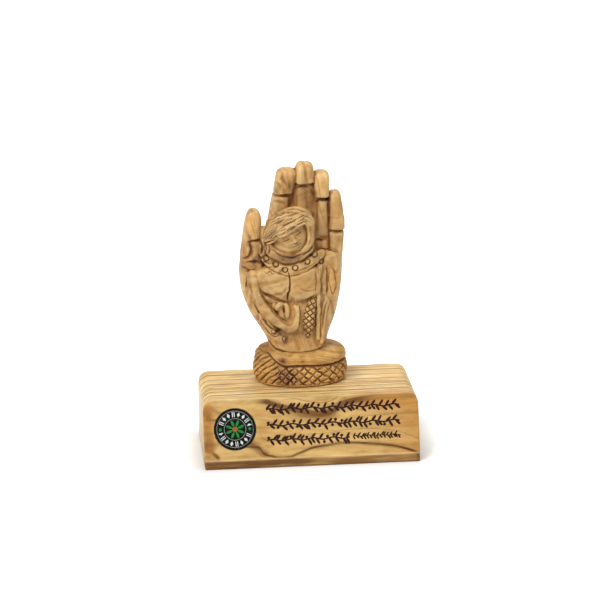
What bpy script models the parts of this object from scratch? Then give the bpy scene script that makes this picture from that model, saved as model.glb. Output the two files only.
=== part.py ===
# Carved olive wood hand with a sleeping child in its palm, screwed to a slope-fronted wooden block.
# Metres, +Z up, the front faces -Y, and the origin is the middle of the block's underside.
# The hand's own forms are placed from the middle of the top of its foot, where the wrist begins.

import math

import bmesh
import bpy
from mathutils import Matrix, Vector

MM = 0.001

# Running and seating gaps
SEAT_GAP = 0.3 * MM
SCREW_CLEARANCE = 0.25 * MM

# Block
BLOCK_LENGTH = 107 * MM
BLOCK_DEPTH = 56 * MM
BLOCK_HEIGHT = 34 * MM
UPRIGHT_HEIGHT = 4.6 * MM
SLOPE_RUN = 7.4 * MM
END_ROUND = 5.5 * MM
EDGE_ROUND = 0.7 * MM

# Badge let into the sloping front
BADGE_RADIUS = 10.2 * MM
BADGE_FROM_END = 15.5 * MM
BADGE_UP_SLOPE = 15.4 * MM
BADGE_PLATE = 1.0 * MM
BADGE_RIM_WIDTH = 0.7 * MM
BADGE_RIM_HEIGHT = 0.3 * MM
BADGE_DOME = 0.9 * MM
BADGE_LENS_EDGE = 0.25 * MM
BADGE_POCKET = 1.4 * MM

# Countersunk wood screw that holds the hand down from below
SCREW_RADIUS = 2.0 * MM
SCREW_CORE_RADIUS = 1.4 * MM
SCREW_GRIP = 14.3 * MM
SCREW_PITCH = 2.0 * MM
SCREW_THREADED = 22 * MM
SCREW_TIP = 4.0 * MM
SCREW_HEAD_RADIUS = 4.0 * MM
SCREW_HEAD_HEIGHT = 2.4 * MM
SCREW_HEAD_RECESS = 0.6 * MM
SCREW_TIP_ROOM = 1.5 * MM
SCREW_SLOT_WIDTH = 1.2 * MM
SCREW_SLOT_DEPTH = 1.2 * MM

# Foot of the carving, and where it stands on the block
FOOT_X = -2.5 * MM
FOOT_FROM_BACK = 17.7 * MM
FOOT_HALF_WIDTH = 23.7 * MM
FOOT_HALF_DEPTH = 16.5 * MM
FOOT_HEIGHT = 17.6 * MM
FOOT_UNDERCUT = 3.0 * MM
BAND_HEIGHT = 10.4 * MM
GROOVE_WIDTH = 1.2 * MM
GROOVE_DEPTH = 1.4 * MM

FOOT_Y = BLOCK_DEPTH / 2 - FOOT_FROM_BACK
FOOT_BOTTOM = BLOCK_HEIGHT + SEAT_GAP
SCREW_LENGTH = FOOT_BOTTOM + SCREW_GRIP - SCREW_HEAD_RECESS

# Smoothness of the carved forms
PALM_SIDES = 36
FOOT_SIDES = 48
FINGER_SIDES = 18

# How far each kind of column fills its rectangle: 2 is an ellipse
FOOT_SQUARENESS = 2.2
THUMB_SQUARENESS = 2.4
PALM_SQUARENESS = 2.5
FINGER_SQUARENESS = 2.9

# The palm and wrist as level cuts: height over the foot, left, right, front, back, in millimetres
PALM_CUTS = [
    (-5.6, -15.2, 12.6, -13.2, 12.4),
    (0.4, -15.2, 12.8, -13.5, 12.6),
    (5.4, -16.2, 13.6, -13.4, 12.6),
    (10.4, -19.3, 15.9, -13.2, 12.8),
    (15.4, -22.3, 17.8, -12.8, 13.2),
    (20.4, -24.8, 19.1, -12.3, 13.6),
    (25.4, -26.4, 20.0, -11.8, 13.8),
    (30.4, -27.2, 20.9, -11.0, 13.8),
    (36.4, -27.0, 21.7, -10.0, 13.6),
    (42.4, -25.6, 22.1, -8.8, 13.0),
    (48.4, -22.8, 22.2, -7.8, 12.2),
    (54.4, -19.0, 22.2, -7.0, 11.2),
    (59.4, -16.4, 22.2, -6.4, 10.2),
]
PALM_TOP_ROUND = 5.0

# Each finger: the root and the tip as level cuts, how round the tip is, the heights of the
# creases across its front, how far it bows sideways, and how far it sets back under the last crease
FINGERS = {
    "index": dict(root=(48.4, -16.4, -4.0, -5.6, 9.4), tip=(91.2, -9.6, -1.6, -7.6, 3.4),
                  tip_round=3.8, creases=(78.0,), bow=0.9, set_back=0.5),
    "middle": dict(root=(48.4, -5.6, 5.6, -5.6, 9.6), tip=(94.2, -1.4, 7.6, -8.2, 3.2),
                   tip_round=4.2, creases=(65.4, 82.8), bow=0.0, set_back=1.5),
    "ring": dict(root=(48.4, 4.0, 14.6, -5.6, 9.2), tip=(89.6, 7.4, 15.8, -7.6, 3.2),
                 tip_round=4.0, creases=(56.0, 75.6), bow=0.4, set_back=1.4),
    "little": dict(root=(42.4, 12.2, 21.6, -6.0, 8.6), tip=(79.0, 14.9, 21.6, -7.2, 2.4),
                   tip_round=3.6, creases=(59.8, 68.4), bow=1.2, set_back=0.5),
}
CREASE_DEPTH = 1.5
CREASE_WIDTH = 1.3
PAD_SWELL = 1.0

# Thumb, standing clear of the index finger above the web
THUMB_CUTS = [
    (16.4, -22.6, -9.0, -11.4, 6.4),
    (24.4, -26.0, -12.0, -11.6, 6.6),
    (32.4, -28.6, -15.2, -11.4, 6.4),
    (39.4, -29.3, -17.4, -11.0, 5.4),
    (46.4, -28.9, -18.2, -10.2, 4.0),
    (52.4, -28.2, -18.4, -9.2, 3.0),
    (56.0, -27.6, -18.8, -8.6, 2.6),
    (57.6, -27.4, -19.2, -7.8, 2.4),
    (59.4, -27.2, -18.6, -8.8, 2.2),
    (64.4, -26.6, -18.6, -9.2, 1.6),
    (67.4, -26.2, -19.2, -8.8, 1.0),
]
THUMB_TIP_ROUND = 4.2

# Sleeping child: where the head lies, its half sizes, and how far it tilts to the hand's left
HEAD_CENTRE = (-3.9, -8.6, 61.0)
HEAD_HALF = (9.2, 8.2, 11.0)
HEAD_TILT = math.radians(38)
NOSE_LENGTH = 4.4
HAIR_SHIFT = 0.9
HAIR_SET_BACK = 0.9
HAIR_THICKNESS = 1.0
HAIR_LOCKS = 6
HAIR_LOCK_RADIUS = 1.1

# Pebble-shaped masses of the child: centre, half sizes and tilt in degrees
MASSES = {
    "lap": ((-1.0, -9.4, 16.9), (15.0, 4.6, 12.5), 8),
    "chest": ((-6.6, -9.2, 34.8), (18.8, 5.8, 12.6), 4),
    "right_shoulder": ((-18.4, -9.6, 39.6), (6.6, 4.6, 7.0), 30),
    "nape_hair": ((-13.2, -8.4, 58.6), (5.6, 4.4, 6.4), 40),
    "neck": ((-7.0, -9.2, 51.2), (9.4, 5.6, 5.0), -8),
    "knee": ((-5.4, -12.0, 18.0), (5.6, 3.6, 6.4), 10),
}

# Rolls: a line of points with a radius at each, and how much they are flattened front to back
ROLLS = {
    "chin_fold": dict(path=[(-16.6, -9.6, 54.8, 1.6), (-12.4, -11.6, 50.8, 2.3), (-6.0, -12.8, 48.6, 2.5),
                            (0.4, -11.8, 49.8, 2.1), (4.6, -9.6, 53.4, 1.2)], flat=1.0),
    "collar": dict(path=[(-20.4, -9.4, 49.8, 1.4), (-15.4, -12.2, 46.0, 2.2), (-9.6, -13.8, 42.6, 2.5),
                         (-3.2, -14.0, 43.0, 2.5), (3.2, -13.0, 46.0, 2.4), (8.6, -10.4, 50.2, 1.5)],
                   flat=0.8),
    "sleeve": dict(path=[(-22.0, -10.8, 42.4, 3.0), (-23.6, -11.8, 36.4, 3.4), (-22.6, -12.6, 30.4, 3.2),
                         (-20.2, -13.0, 25.0, 3.0), (-16.6, -13.4, 19.8, 2.9), (-12.0, -13.8, 14.8, 2.8),
                         (-6.8, -14.2, 11.8, 2.6), (-3.0, -14.0, 15.2, 2.3), (-2.0, -13.8, 19.8, 2.2),
                         (-3.0, -13.2, 24.8, 1.9), (-7.0, -12.6, 26.0, 1.5)], flat=1.0),
    "cuff": dict(path=[(-14.8, -11.4, 28.8, 2.0), (-12.2, -12.2, 25.4, 2.4), (-11.0, -12.6, 22.8, 2.0)],
                 flat=0.9),
    "hand": dict(path=[(-11.4, -12.6, 23.0, 2.0), (-9.4, -13.0, 19.4, 2.2), (-8.0, -12.8, 16.8, 1.4)],
                 flat=0.9),
    "left_fold": dict(path=[(11.2, -8.6, 44.4, 1.6), (10.0, -11.0, 36.4, 1.9), (9.0, -12.4, 28.4, 1.8),
                            (8.6, -12.6, 20.4, 1.6), (8.4, -12.6, 11.4, 1.2)], flat=1.0),
    "side_fold": dict(path=[(13.0, -9.6, 26.4, 1.2), (11.6, -11.6, 20.4, 1.4), (10.6, -12.0, 13.4, 1.2),
                            (9.8, -12.4, 6.4, 0.8)], flat=1.0),
    "child_foot": dict(path=[(-18.4, -10.4, 14.8, 2.2), (-14.4, -12.2, 11.4, 2.6), (-10.6, -13.4, 8.4, 2.1)],
                       flat=0.9),
    "sash": dict(path=[(6.2, -11.8, 29.2, 0.6), (4.6, -12.8, 25.4, 2.0), (3.4, -13.4, 21.4, 2.6),
                       (3.2, -13.6, 16.4, 2.5), (3.2, -13.8, 12.4, 2.7), (3.4, -13.6, 8.8, 2.0),
                       (3.8, -13.0, 6.2, 0.8)], flat=0.7),
}

# The small hand laid on the edge of the palm
SMALL_FINGERS = 3
SMALL_FINGER_SPACING = 1.9
SMALL_FINGER_RADIUS = 1.05
SMALL_FINGER_TOP = (12.4, -10.2, 40.8)
SMALL_FINGER_LENGTH = 11.0
SMALL_FINGER_FORWARD = 1.2

COLLAR_BEADS = 6
BEAD_RADIUS = 1.15
BEAD_STAND_OUT = 1.7
TOES = 3
TOE_RADIUS = 1.0

ROLL_SIDES_RESOLUTION = 2
ROLL_STEPS = 3


def clear_scene():
    for item in list(bpy.data.objects):
        bpy.data.objects.remove(item, do_unlink=True)


def wood_like(name, colour, roughness, metallic=0.0, alpha=1.0):
    material = bpy.data.materials.new(name)
    material.use_nodes = True
    shader = material.node_tree.nodes["Principled BSDF"]
    shader.inputs["Base Color"].default_value = (*colour, 1.0)
    shader.inputs["Roughness"].default_value = roughness
    shader.inputs["Metallic"].default_value = metallic
    shader.inputs["Alpha"].default_value = alpha
    return material


def new_object(name, bm, material=None):
    mesh = bpy.data.meshes.new(name)
    bm.to_mesh(mesh)
    bm.free()
    item = bpy.data.objects.new(name, mesh)
    bpy.context.scene.collection.objects.link(item)
    if material:
        mesh.materials.append(material)
    return item


def hide_as_cutter(item):
    item.hide_render = True
    item.display_type = "WIRE"


def boolean(item, other, operation):
    modifier = item.modifiers.new(operation.lower(), "BOOLEAN")
    modifier.operation = operation
    modifier.solver = "EXACT"
    if isinstance(other, bpy.types.Collection):
        modifier.operand_type = "COLLECTION"
        modifier.collection = other
    else:
        modifier.object = other
        hide_as_cutter(other)


def signed_power(value, power):
    return math.copysign(abs(value) ** power, value)


def loft(bm, rings):
    # Joins rings of points, bottom to top, and closes both ends
    loops = [[bm.verts.new(p) for p in ring] for ring in rings]
    count = len(loops[0])
    for lower, upper in zip(loops, loops[1:]):
        for i in range(count):
            j = (i + 1) % count
            bm.faces.new((lower[i], lower[j], upper[j], upper[i]))
    bm.faces.new(reversed(loops[0]))
    bm.faces.new(loops[-1])


def level_ring(height, left, right, front, back, sides, squareness):
    # A superellipse that fills the rectangle from left to right and front to back
    ring = []
    for i in range(sides):
        turn = 2 * math.pi * (i + 0.5) / sides
        across = signed_power(math.cos(turn), 2 / squareness)
        along = signed_power(math.sin(turn), 2 / squareness)
        x = (left + right) / 2 + across * (right - left) / 2
        y = (front + back) / 2 + along * (back - front) / 2
        ring.append(Vector((x, y, height)) * MM)
    return ring


def rounded_top(cut, tip_round, steps=4):
    # Level cuts that close like the top of an egg above the last straight one
    height, left, right, front, back = cut
    cuts = []
    for i in range(1, steps + 1):
        turn = math.radians(76) * i / steps
        side = (right - left) / 2 * (1 - math.cos(turn))
        depth = (back - front) / 2 * (1 - math.cos(turn))
        rise = tip_round * math.sin(turn) / math.sin(math.radians(76))
        cuts.append((height + rise, left + side, right - side, front + depth, back - depth))
    return cuts


def column(name, cuts, sides, squareness):
    bm = bmesh.new()
    loft(bm, [level_ring(*cut, sides, squareness) for cut in cuts])
    return new_object(name, bm)


def finger_cuts(finger):
    # The cut at any height, with a swollen pad between creases and a notch at each crease
    root, tip = finger["root"], finger["tip"]
    shoulder = tip[0] - finger["tip_round"]
    edges = [root[0], *finger["creases"], shoulder]
    half = CREASE_WIDTH / 2
    heights = {root[0], shoulder}
    for crease in finger["creases"]:
        heights.update((crease - half, crease, crease + half))
    for low, high in zip(edges, edges[1:]):
        heights.update((low + (high - low) / 3, low + (high - low) * 2 / 3))

    cuts = []
    for height in sorted(heights):
        share = (height - root[0]) / (tip[0] - root[0])
        left, right, front, back = (a + (b - a) * share for a, b in zip(root[1:], tip[1:]))
        bow = finger["bow"] * math.sin(math.pi * share)
        if height < finger["creases"][-1]:
            front += finger["set_back"]
        if any(abs(height - crease) < 1e-6 for crease in finger["creases"]):
            front += CREASE_DEPTH
        else:
            low = max(e for e in edges if e <= height + 1e-6)
            high = min(e for e in edges + [shoulder + 1] if e > height + 1e-6)
            front -= PAD_SWELL * math.sin(math.pi * min(1, (height - low) / (high - low)))
        cuts.append((height, left + bow, right + bow, front, back))
    return cuts + rounded_top(cuts[-1], finger["tip_round"])


def pebble(name, centre, half, tilt_degrees, across=16, up=10):
    bm = bmesh.new()
    bmesh.ops.create_uvsphere(bm, u_segments=across, v_segments=up, radius=1.0)
    place = Matrix.Translation(Vector(centre) * MM) @ Matrix.Rotation(-math.radians(tilt_degrees), 4, "Y")
    bm.transform(place @ Matrix.Diagonal((*(Vector(half) * MM), 1.0)))
    return new_object(name, bm)


def roll(name, path, flat=1.0):
    # A curve with a round section whose radius changes from point to point
    curve = bpy.data.curves.new(name, "CURVE")
    curve.dimensions = "3D"
    curve.bevel_depth = MM
    curve.bevel_resolution = ROLL_SIDES_RESOLUTION
    curve.use_fill_caps = True
    spline = curve.splines.new("NURBS")
    spline.points.add(len(path) - 1)
    spline.order_u = min(3, len(path))
    spline.use_endpoint_u = True
    spline.resolution_u = ROLL_STEPS
    middle = sum(p[1] for p in path) / len(path) * MM
    for point, (x, y, z, radius) in zip(spline.points, path):
        point.co = (x * MM, y * MM, z * MM, 1.0)
        point.radius = radius
    shaped = bpy.data.objects.new(name, curve)
    bpy.context.scene.collection.objects.link(shaped)
    mesh = bpy.data.meshes.new_from_object(shaped.evaluated_get(bpy.context.evaluated_depsgraph_get()))
    bpy.data.objects.remove(shaped)
    bm = bmesh.new()
    bm.from_mesh(mesh)
    bmesh.ops.remove_doubles(bm, verts=bm.verts, dist=0.00001)
    for vert in bm.verts:
        vert.co.y = middle + (vert.co.y - middle) * flat
    bmesh.ops.recalc_face_normals(bm, faces=bm.faces)
    return new_object(name, bm)


def ball(name, centre, radius):
    return pebble(name, centre, (radius, radius, radius), 0, across=10, up=6)


def along_path(path, share):
    # A point at a share of the way along straight stretches between the path's points
    points = [Vector(p[:3]) for p in path]
    steps = [(b - a).length for a, b in zip(points, points[1:])]
    left = share * sum(steps)
    for a, b, step in zip(points, points[1:], steps):
        if left <= step:
            return a.lerp(b, left / step)
        left -= step
    return points[-1]


def head_place():
    # Turns the head's own axes, +Z to the crown and -Y to the face, into the hand's
    return Matrix.Translation(Vector(HEAD_CENTRE)) @ Matrix.Rotation(-HEAD_TILT, 4, "Y")


def child_head_forms():
    tilt = math.degrees(HEAD_TILT)
    place = head_place()
    forms = [pebble("head", HEAD_CENTRE, HEAD_HALF, tilt, 20, 14)]

    hair_half = tuple(h + HAIR_THICKNESS for h in HEAD_HALF)
    hair_centre = place @ Vector((0, HAIR_THICKNESS + HAIR_SET_BACK, HAIR_SHIFT))
    forms.append(pebble("hair", hair_centre, hair_half, tilt, 20, 14))

    # Locks combed across the brow, one above the other, and longer towards the crown
    for i in range(HAIR_LOCKS):
        lift = 0.30 + 0.60 * i / (HAIR_LOCKS - 1)
        reach = math.sqrt(1 - lift * lift)
        line = []
        for step in range(6):
            turn = math.radians(-68 + 136 * step / 5)
            x = hair_half[0] * reach * math.sin(turn)
            y = -hair_half[1] * reach * math.cos(turn) + HAIR_THICKNESS + HAIR_SET_BACK
            z = HAIR_SHIFT + hair_half[2] * lift + 0.8 * math.sin(3 * turn + i)
            thick = HAIR_LOCK_RADIUS * (0.55 + 0.45 * math.cos(turn))
            line.append((*(place @ Vector((x, y, z))), thick))
        forms.append(roll(f"lock_{i + 1}", line))

    nose = [(0, -HEAD_HALF[1] * 0.93, 0.6, 0.5), (0, -HEAD_HALF[1] - 0.5, -2.0, 0.9),
            (0, -HEAD_HALF[1] * 0.95, -NOSE_LENGTH + 0.6, 1.0), (0, -HEAD_HALF[1] * 0.86, -NOSE_LENGTH, 0.6)]
    forms.append(roll("nose", [(*(place @ Vector(p[:3])), p[3]) for p in nose]))
    return forms


def small_hand_forms():
    x, y, z = SMALL_FINGER_TOP
    forms = []
    for i in range(SMALL_FINGERS):
        shift = SMALL_FINGER_SPACING * i
        droop = 1.2 * abs(i - (SMALL_FINGERS - 1) / 2)
        path = [(x + shift, y + 1.2, z - droop, SMALL_FINGER_RADIUS * 0.8),
                (x + shift * 0.95, y - 0.6, z - 2.5 - droop, SMALL_FINGER_RADIUS * 1.2),
                (x + shift * 0.9, y - SMALL_FINGER_FORWARD, z - SMALL_FINGER_LENGTH * 0.6,
                 SMALL_FINGER_RADIUS),
                (x + shift * 0.85, y - 0.4, z - SMALL_FINGER_LENGTH - droop, SMALL_FINGER_RADIUS * 0.6)]
        forms.append(roll(f"small_finger_{i + 1}", path))
    return forms


def child_forms():
    forms = [pebble(name, *mass) for name, mass in MASSES.items()]
    forms += [roll(name, made["path"], made["flat"]) for name, made in ROLLS.items()]
    collar = ROLLS["collar"]["path"]
    for i in range(COLLAR_BEADS):
        at = along_path(collar, 0.16 + 0.74 * i / (COLLAR_BEADS - 1))
        at.y -= BEAD_STAND_OUT
        forms.append(ball(f"bead_{i + 1}", at, BEAD_RADIUS))
    toe_line = Vector(ROLLS["child_foot"]["path"][-1][:3])
    for i in range(TOES):
        at = toe_line + Vector((0.9 * i, -0.3, -1.5 * i + 1.0))
        forms.append(ball(f"toe_{i + 1}", at, TOE_RADIUS))
    return forms + child_head_forms() + small_hand_forms()


def foot_form():
    # A turned foot, oval in plan: a bulging band, a groove, and a collar that rises to the wrist
    band_top = BAND_HEIGHT / MM
    collar_base = band_top + GROOVE_WIDTH / MM
    top = FOOT_HEIGHT / MM
    collar = top - collar_base
    undercut = FOOT_UNDERCUT / MM
    groove = GROOVE_DEPTH / MM + 0.8
    # Height over the block, and how far the side stands in from the widest place
    profile = [(0, undercut), (band_top * 0.12, undercut * 0.5), (band_top * 0.35, 0.5), (band_top * 0.6, 0)]
    profile += [(band_top - 0.6, 0.8), (band_top, groove), (collar_base - 0.3, groove), (collar_base, 0.9)]
    profile += [(collar_base + collar * 0.35, 0.8), (collar_base + collar * 0.65, 1.7)]
    profile += [(top - 0.9, 3.2), (top, 6)]
    rings = []
    for height, inset in profile:
        across = FOOT_HALF_WIDTH / MM - inset
        along = FOOT_HALF_DEPTH / MM - inset
        rings.append(level_ring(height - top, -across, across, -along, along, FOOT_SIDES, FOOT_SQUARENESS))
    bm = bmesh.new()
    loft(bm, rings)
    return new_object("foot", bm)


def carved_hand(material):
    palm_top = rounded_top(PALM_CUTS[-1], PALM_TOP_ROUND)
    hand = column("carved_hand", PALM_CUTS + palm_top, PALM_SIDES, PALM_SQUARENESS)
    hand.data.materials.append(material)
    thumb_tip = rounded_top(THUMB_CUTS[-1], THUMB_TIP_ROUND)
    forms = [foot_form(), column("thumb", THUMB_CUTS + thumb_tip, FINGER_SIDES, THUMB_SQUARENESS)]
    for name, finger in FINGERS.items():
        forms.append(column(name, finger_cuts(finger), FINGER_SIDES, FINGER_SQUARENESS))
    forms += child_forms()

    together = bpy.data.collections.new("carving")
    bpy.context.scene.collection.children.link(together)
    place = Matrix.Translation((FOOT_X, FOOT_Y, FOOT_BOTTOM + FOOT_HEIGHT))
    for form in forms:
        bpy.context.scene.collection.objects.unlink(form)
        together.objects.link(form)
        form.matrix_world = place
        hide_as_cutter(form)
    hand.matrix_world = place
    boolean(hand, together, "UNION")
    tip = FOOT_BOTTOM + SCREW_GRIP + SCREW_TIP_ROOM
    bore = SCREW_RADIUS + SCREW_CLEARANCE
    boolean(hand, drill("pilot_hole", [(bore, BLOCK_HEIGHT - 2 * MM), (bore, tip)]), "DIFFERENCE")
    return hand


def drill(name, profile, sides=24):
    # A round cutter on the screw's line, from radius and height pairs
    bm = bmesh.new()
    loft(bm, [turned_ring(radius, height, sides) for radius, height in profile])
    item = new_object(name, bm)
    item.location = (FOOT_X, FOOT_Y, 0)
    return item


def turned_ring(radius, height, sides):
    turns = [2 * math.pi * i / sides for i in range(sides)]
    return [(radius * math.cos(t), radius * math.sin(t), height) for t in turns]


def slope_frame():
    # At the middle of the badge: X along the block, Y up the slope, Z out of the wood
    rise = BLOCK_HEIGHT - UPRIGHT_HEIGHT
    up = Vector((0, SLOPE_RUN, rise)).normalized()
    foot = Vector((BADGE_FROM_END - BLOCK_LENGTH / 2, -BLOCK_DEPTH / 2, UPRIGHT_HEIGHT))
    along = Vector((1, 0, 0))
    turned = Matrix((along, up, along.cross(up))).transposed()
    return Matrix.Translation(foot + up * BADGE_UP_SLOPE) @ turned.to_4x4()


def prism(name, outline, axis, length, material=None):
    # An outline in the plane across an axis, extruded half the length to each side
    bm = bmesh.new()
    verts = [bm.verts.new((0, a, b) if axis == "X" else (a, 0, b)) for a, b in outline]
    face = bm.faces.new(verts)
    side = Vector((length, 0, 0)) if axis == "X" else Vector((0, length, 0))
    made = bmesh.ops.extrude_face_region(bm, geom=[face])
    bmesh.ops.translate(bm, vec=side, verts=[v for v in made["geom"] if isinstance(v, bmesh.types.BMVert)])
    bmesh.ops.translate(bm, vec=-side / 2, verts=bm.verts)
    bmesh.ops.recalc_face_normals(bm, faces=bm.faces)
    return new_object(name, bm, material)


def base_block(material):
    front = -BLOCK_DEPTH / 2
    side = [(front, 0), (-front, 0), (-front, BLOCK_HEIGHT), (front + SLOPE_RUN, BLOCK_HEIGHT)]
    side.append((front, UPRIGHT_HEIGHT))
    block = prism("base_block", side, "X", BLOCK_LENGTH, material)

    edges = block.modifiers.new("softened_edges", "BEVEL")
    edges.width = EDGE_ROUND
    edges.segments = 2
    edges.limit_method = "ANGLE"
    edges.angle_limit = math.radians(10)

    half = BLOCK_LENGTH / 2
    spare = 2 * MM
    arch = [(-half - spare, -spare), (half + spare, -spare)]
    for centre, start in ((half - END_ROUND, 0), (END_ROUND - half, 90)):
        for step in range(9):
            turn = math.radians(start + 90 * step / 8)
            reach = END_ROUND
            arch.append((centre + reach * math.cos(turn), BLOCK_HEIGHT - END_ROUND + reach * math.sin(turn)))
    arch.insert(2, (half + spare, BLOCK_HEIGHT - END_ROUND))
    arch.append((-half - spare, BLOCK_HEIGHT - END_ROUND))
    boolean(block, prism("end_rounding", arch, "Y", BLOCK_DEPTH * 2), "INTERSECT")

    bm = bmesh.new()
    wide = BADGE_RADIUS + SEAT_GAP
    depth = 2 * BADGE_POCKET
    bmesh.ops.create_cone(bm, cap_ends=True, segments=64, radius1=wide, radius2=wide, depth=depth)
    pocket = new_object("badge_pocket", bm)
    pocket.matrix_world = slope_frame()
    boolean(block, pocket, "DIFFERENCE")

    # The countersink follows the screw's head at an even distance
    mouth = SCREW_HEAD_RADIUS + SCREW_CLEARANCE
    bore = SCREW_RADIUS + SCREW_CLEARANCE
    lift = SCREW_CLEARANCE * 0.7
    rim = SCREW_HEAD_RECESS + lift
    sunk = [(mouth, -spare), (mouth, rim), (bore, rim + SCREW_HEAD_HEIGHT), (bore, BLOCK_HEIGHT + spare)]
    boolean(block, drill("countersink", sunk, 32), "DIFFERENCE")
    return block


def turned(name, profile, sides, material):
    # Spins radius and height pairs, bottom to top, and closes them on the axis
    bm = bmesh.new()
    loft(bm, [turned_ring(radius, height, sides) for radius, height in profile])
    item = new_object(name, bm, material)
    item.data.shade_smooth()
    item.data.set_sharp_from_angle(angle=math.radians(35))
    return item


def fixing_screw(material):
    # Countersunk head below, plain shank through the block, then a thread up into the carving
    head, shank, sunk = SCREW_HEAD_RADIUS, SCREW_CORE_RADIUS, SCREW_HEAD_HEIGHT
    start = SCREW_LENGTH - SCREW_TIP - SCREW_THREADED
    neck = SCREW_RADIUS * 0.95
    profile = [(head * 0.97, 0), (head, 0.15 * MM), (neck, sunk), (neck, start - MM), (shank, start)]
    turns = int(SCREW_THREADED / SCREW_PITCH)
    for i in range(turns):
        foot = start + SCREW_PITCH * i
        profile += [(shank, foot + SCREW_PITCH * 0.3), (SCREW_RADIUS, foot + SCREW_PITCH * 0.5),
                    (shank, foot + SCREW_PITCH * 0.7)]
    profile += [(shank, start + SCREW_THREADED), (shank * 0.15, SCREW_LENGTH)]
    screw = turned("fixing_screw", profile, 20, material)
    screw.location = (FOOT_X, FOOT_Y, SCREW_HEAD_RECESS)

    for turn in (0, 90):
        bm = bmesh.new()
        bmesh.ops.create_cube(bm, size=1.0)
        bm.transform(Matrix.Rotation(math.radians(turn), 4, "Z")
                     @ Matrix.Diagonal((SCREW_HEAD_RADIUS * 1.1, SCREW_SLOT_WIDTH, 2 * SCREW_SLOT_DEPTH, 1)))
        slot = new_object(f"driver_slot_{turn}", bm)
        slot.location = screw.location
        boolean(screw, slot, "DIFFERENCE")
    return screw


def badge(plate_material, dome_material):
    # A dark printed plate with a raised rim, and a clear resin lens that fills the rim
    floor = -BADGE_POCKET + SEAT_GAP
    top = floor + BADGE_PLATE
    inner = BADGE_RADIUS - BADGE_RIM_WIDTH
    rim = top + BADGE_RIM_HEIGHT
    profile = [(BADGE_RADIUS, floor), (BADGE_RADIUS, rim), (inner, rim), (inner, top)]
    plate = turned("badge_plate", profile, 64, plate_material)
    plate.matrix_world = slope_frame()

    lens = inner - SEAT_GAP
    seat = top + SEAT_GAP
    edge = seat + BADGE_LENS_EDGE
    domed = [(lens, seat)]
    for step in range(6):
        turn = math.radians(88 * step / 5)
        domed.append((lens * math.cos(turn), edge + (BADGE_DOME - BADGE_LENS_EDGE) * math.sin(turn)))
    dome = turned("badge_dome", domed, 64, dome_material)
    dome.matrix_world = slope_frame()
    return plate, dome


clear_scene()
olive_wood = wood_like("olive_wood", (0.50, 0.30, 0.12), 0.45)
olive_block = wood_like("olive_block", (0.60, 0.38, 0.17), 0.45)
steel = wood_like("zinc_plated_steel", (0.62, 0.62, 0.60), 0.35, 1.0)
dark_print = wood_like("dark_print", (0.02, 0.02, 0.02), 0.35)
resin = wood_like("clear_resin", (0.9, 0.9, 0.9), 0.08, alpha=0.3)

base_block(olive_block)
carved_hand(olive_wood)
fixing_screw(steel)
badge(dark_print, resin)
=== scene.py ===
import math

import bmesh
import bpy
import numpy as np
from mathutils import Matrix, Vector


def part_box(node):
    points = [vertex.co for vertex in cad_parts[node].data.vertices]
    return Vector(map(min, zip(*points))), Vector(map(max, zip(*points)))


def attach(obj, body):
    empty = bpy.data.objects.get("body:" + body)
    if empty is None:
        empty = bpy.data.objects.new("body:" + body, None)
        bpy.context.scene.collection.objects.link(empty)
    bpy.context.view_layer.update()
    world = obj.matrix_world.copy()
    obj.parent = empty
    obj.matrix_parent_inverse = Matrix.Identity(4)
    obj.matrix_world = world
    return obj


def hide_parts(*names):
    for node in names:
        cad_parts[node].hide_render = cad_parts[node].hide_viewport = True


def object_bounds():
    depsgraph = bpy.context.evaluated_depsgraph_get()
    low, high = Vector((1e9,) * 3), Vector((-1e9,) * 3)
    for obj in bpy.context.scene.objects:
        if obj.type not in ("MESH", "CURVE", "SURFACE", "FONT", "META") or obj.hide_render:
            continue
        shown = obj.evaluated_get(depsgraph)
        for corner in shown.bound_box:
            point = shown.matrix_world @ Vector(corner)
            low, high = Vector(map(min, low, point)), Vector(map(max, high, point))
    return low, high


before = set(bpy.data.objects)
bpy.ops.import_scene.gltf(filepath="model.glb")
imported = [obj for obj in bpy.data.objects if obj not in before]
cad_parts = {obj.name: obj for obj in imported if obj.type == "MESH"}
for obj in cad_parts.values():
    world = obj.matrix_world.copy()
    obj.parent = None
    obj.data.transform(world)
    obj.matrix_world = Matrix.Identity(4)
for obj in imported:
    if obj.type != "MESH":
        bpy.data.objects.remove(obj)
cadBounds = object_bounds()
mm = 0.001
print("frame loaded:", ", ".join(sorted(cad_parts)))

# The carving's zero is the middle of the top of its foot; its shapes are in millimetres from there
screwLow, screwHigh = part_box("fixing_screw")
handLow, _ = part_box("carved_hand")
footHeight = 17.6
carvingZero = np.array([(screwLow.x + screwHigh.x) / 2, (screwLow.y + screwHigh.y) / 2,
                        handLow.z + footHeight * mm])


# Camera, light and ground

def unit(vectors):
    return vectors / np.linalg.norm(vectors, axis=-1, keepdims=True)


def outwards(turn, over):
    # The way out from the object, turned from its front and raised over the horizon
    return np.array([math.sin(turn) * math.cos(over), -math.cos(turn) * math.cos(over), math.sin(over)])


def addObject(name, data):
    thing = bpy.data.objects.new(name, data)
    bpy.context.scene.collection.objects.link(thing)
    return thing


def setPlace(thing, right, up, back, place):
    turned = np.eye(4)
    turned[:3] = np.stack([right, up, back, place], 1)
    thing.matrix_world = Matrix(turned.tolist())


cameraView = {
    "turn": 4.84,           # degrees to the left of straight in front
    "height": 16.03,        # degrees over the horizon
    "roll": -0.844,
    "distance": 1.3067,     # metres from the middle of what is seen
    "middle": (-0.00289, 0.0, 0.07762),
    "focalPixels": 2630.0,  # on an image 600 pixels wide
    "imagePixels": 600,
    "sensorWidth": 36.0,
}


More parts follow.
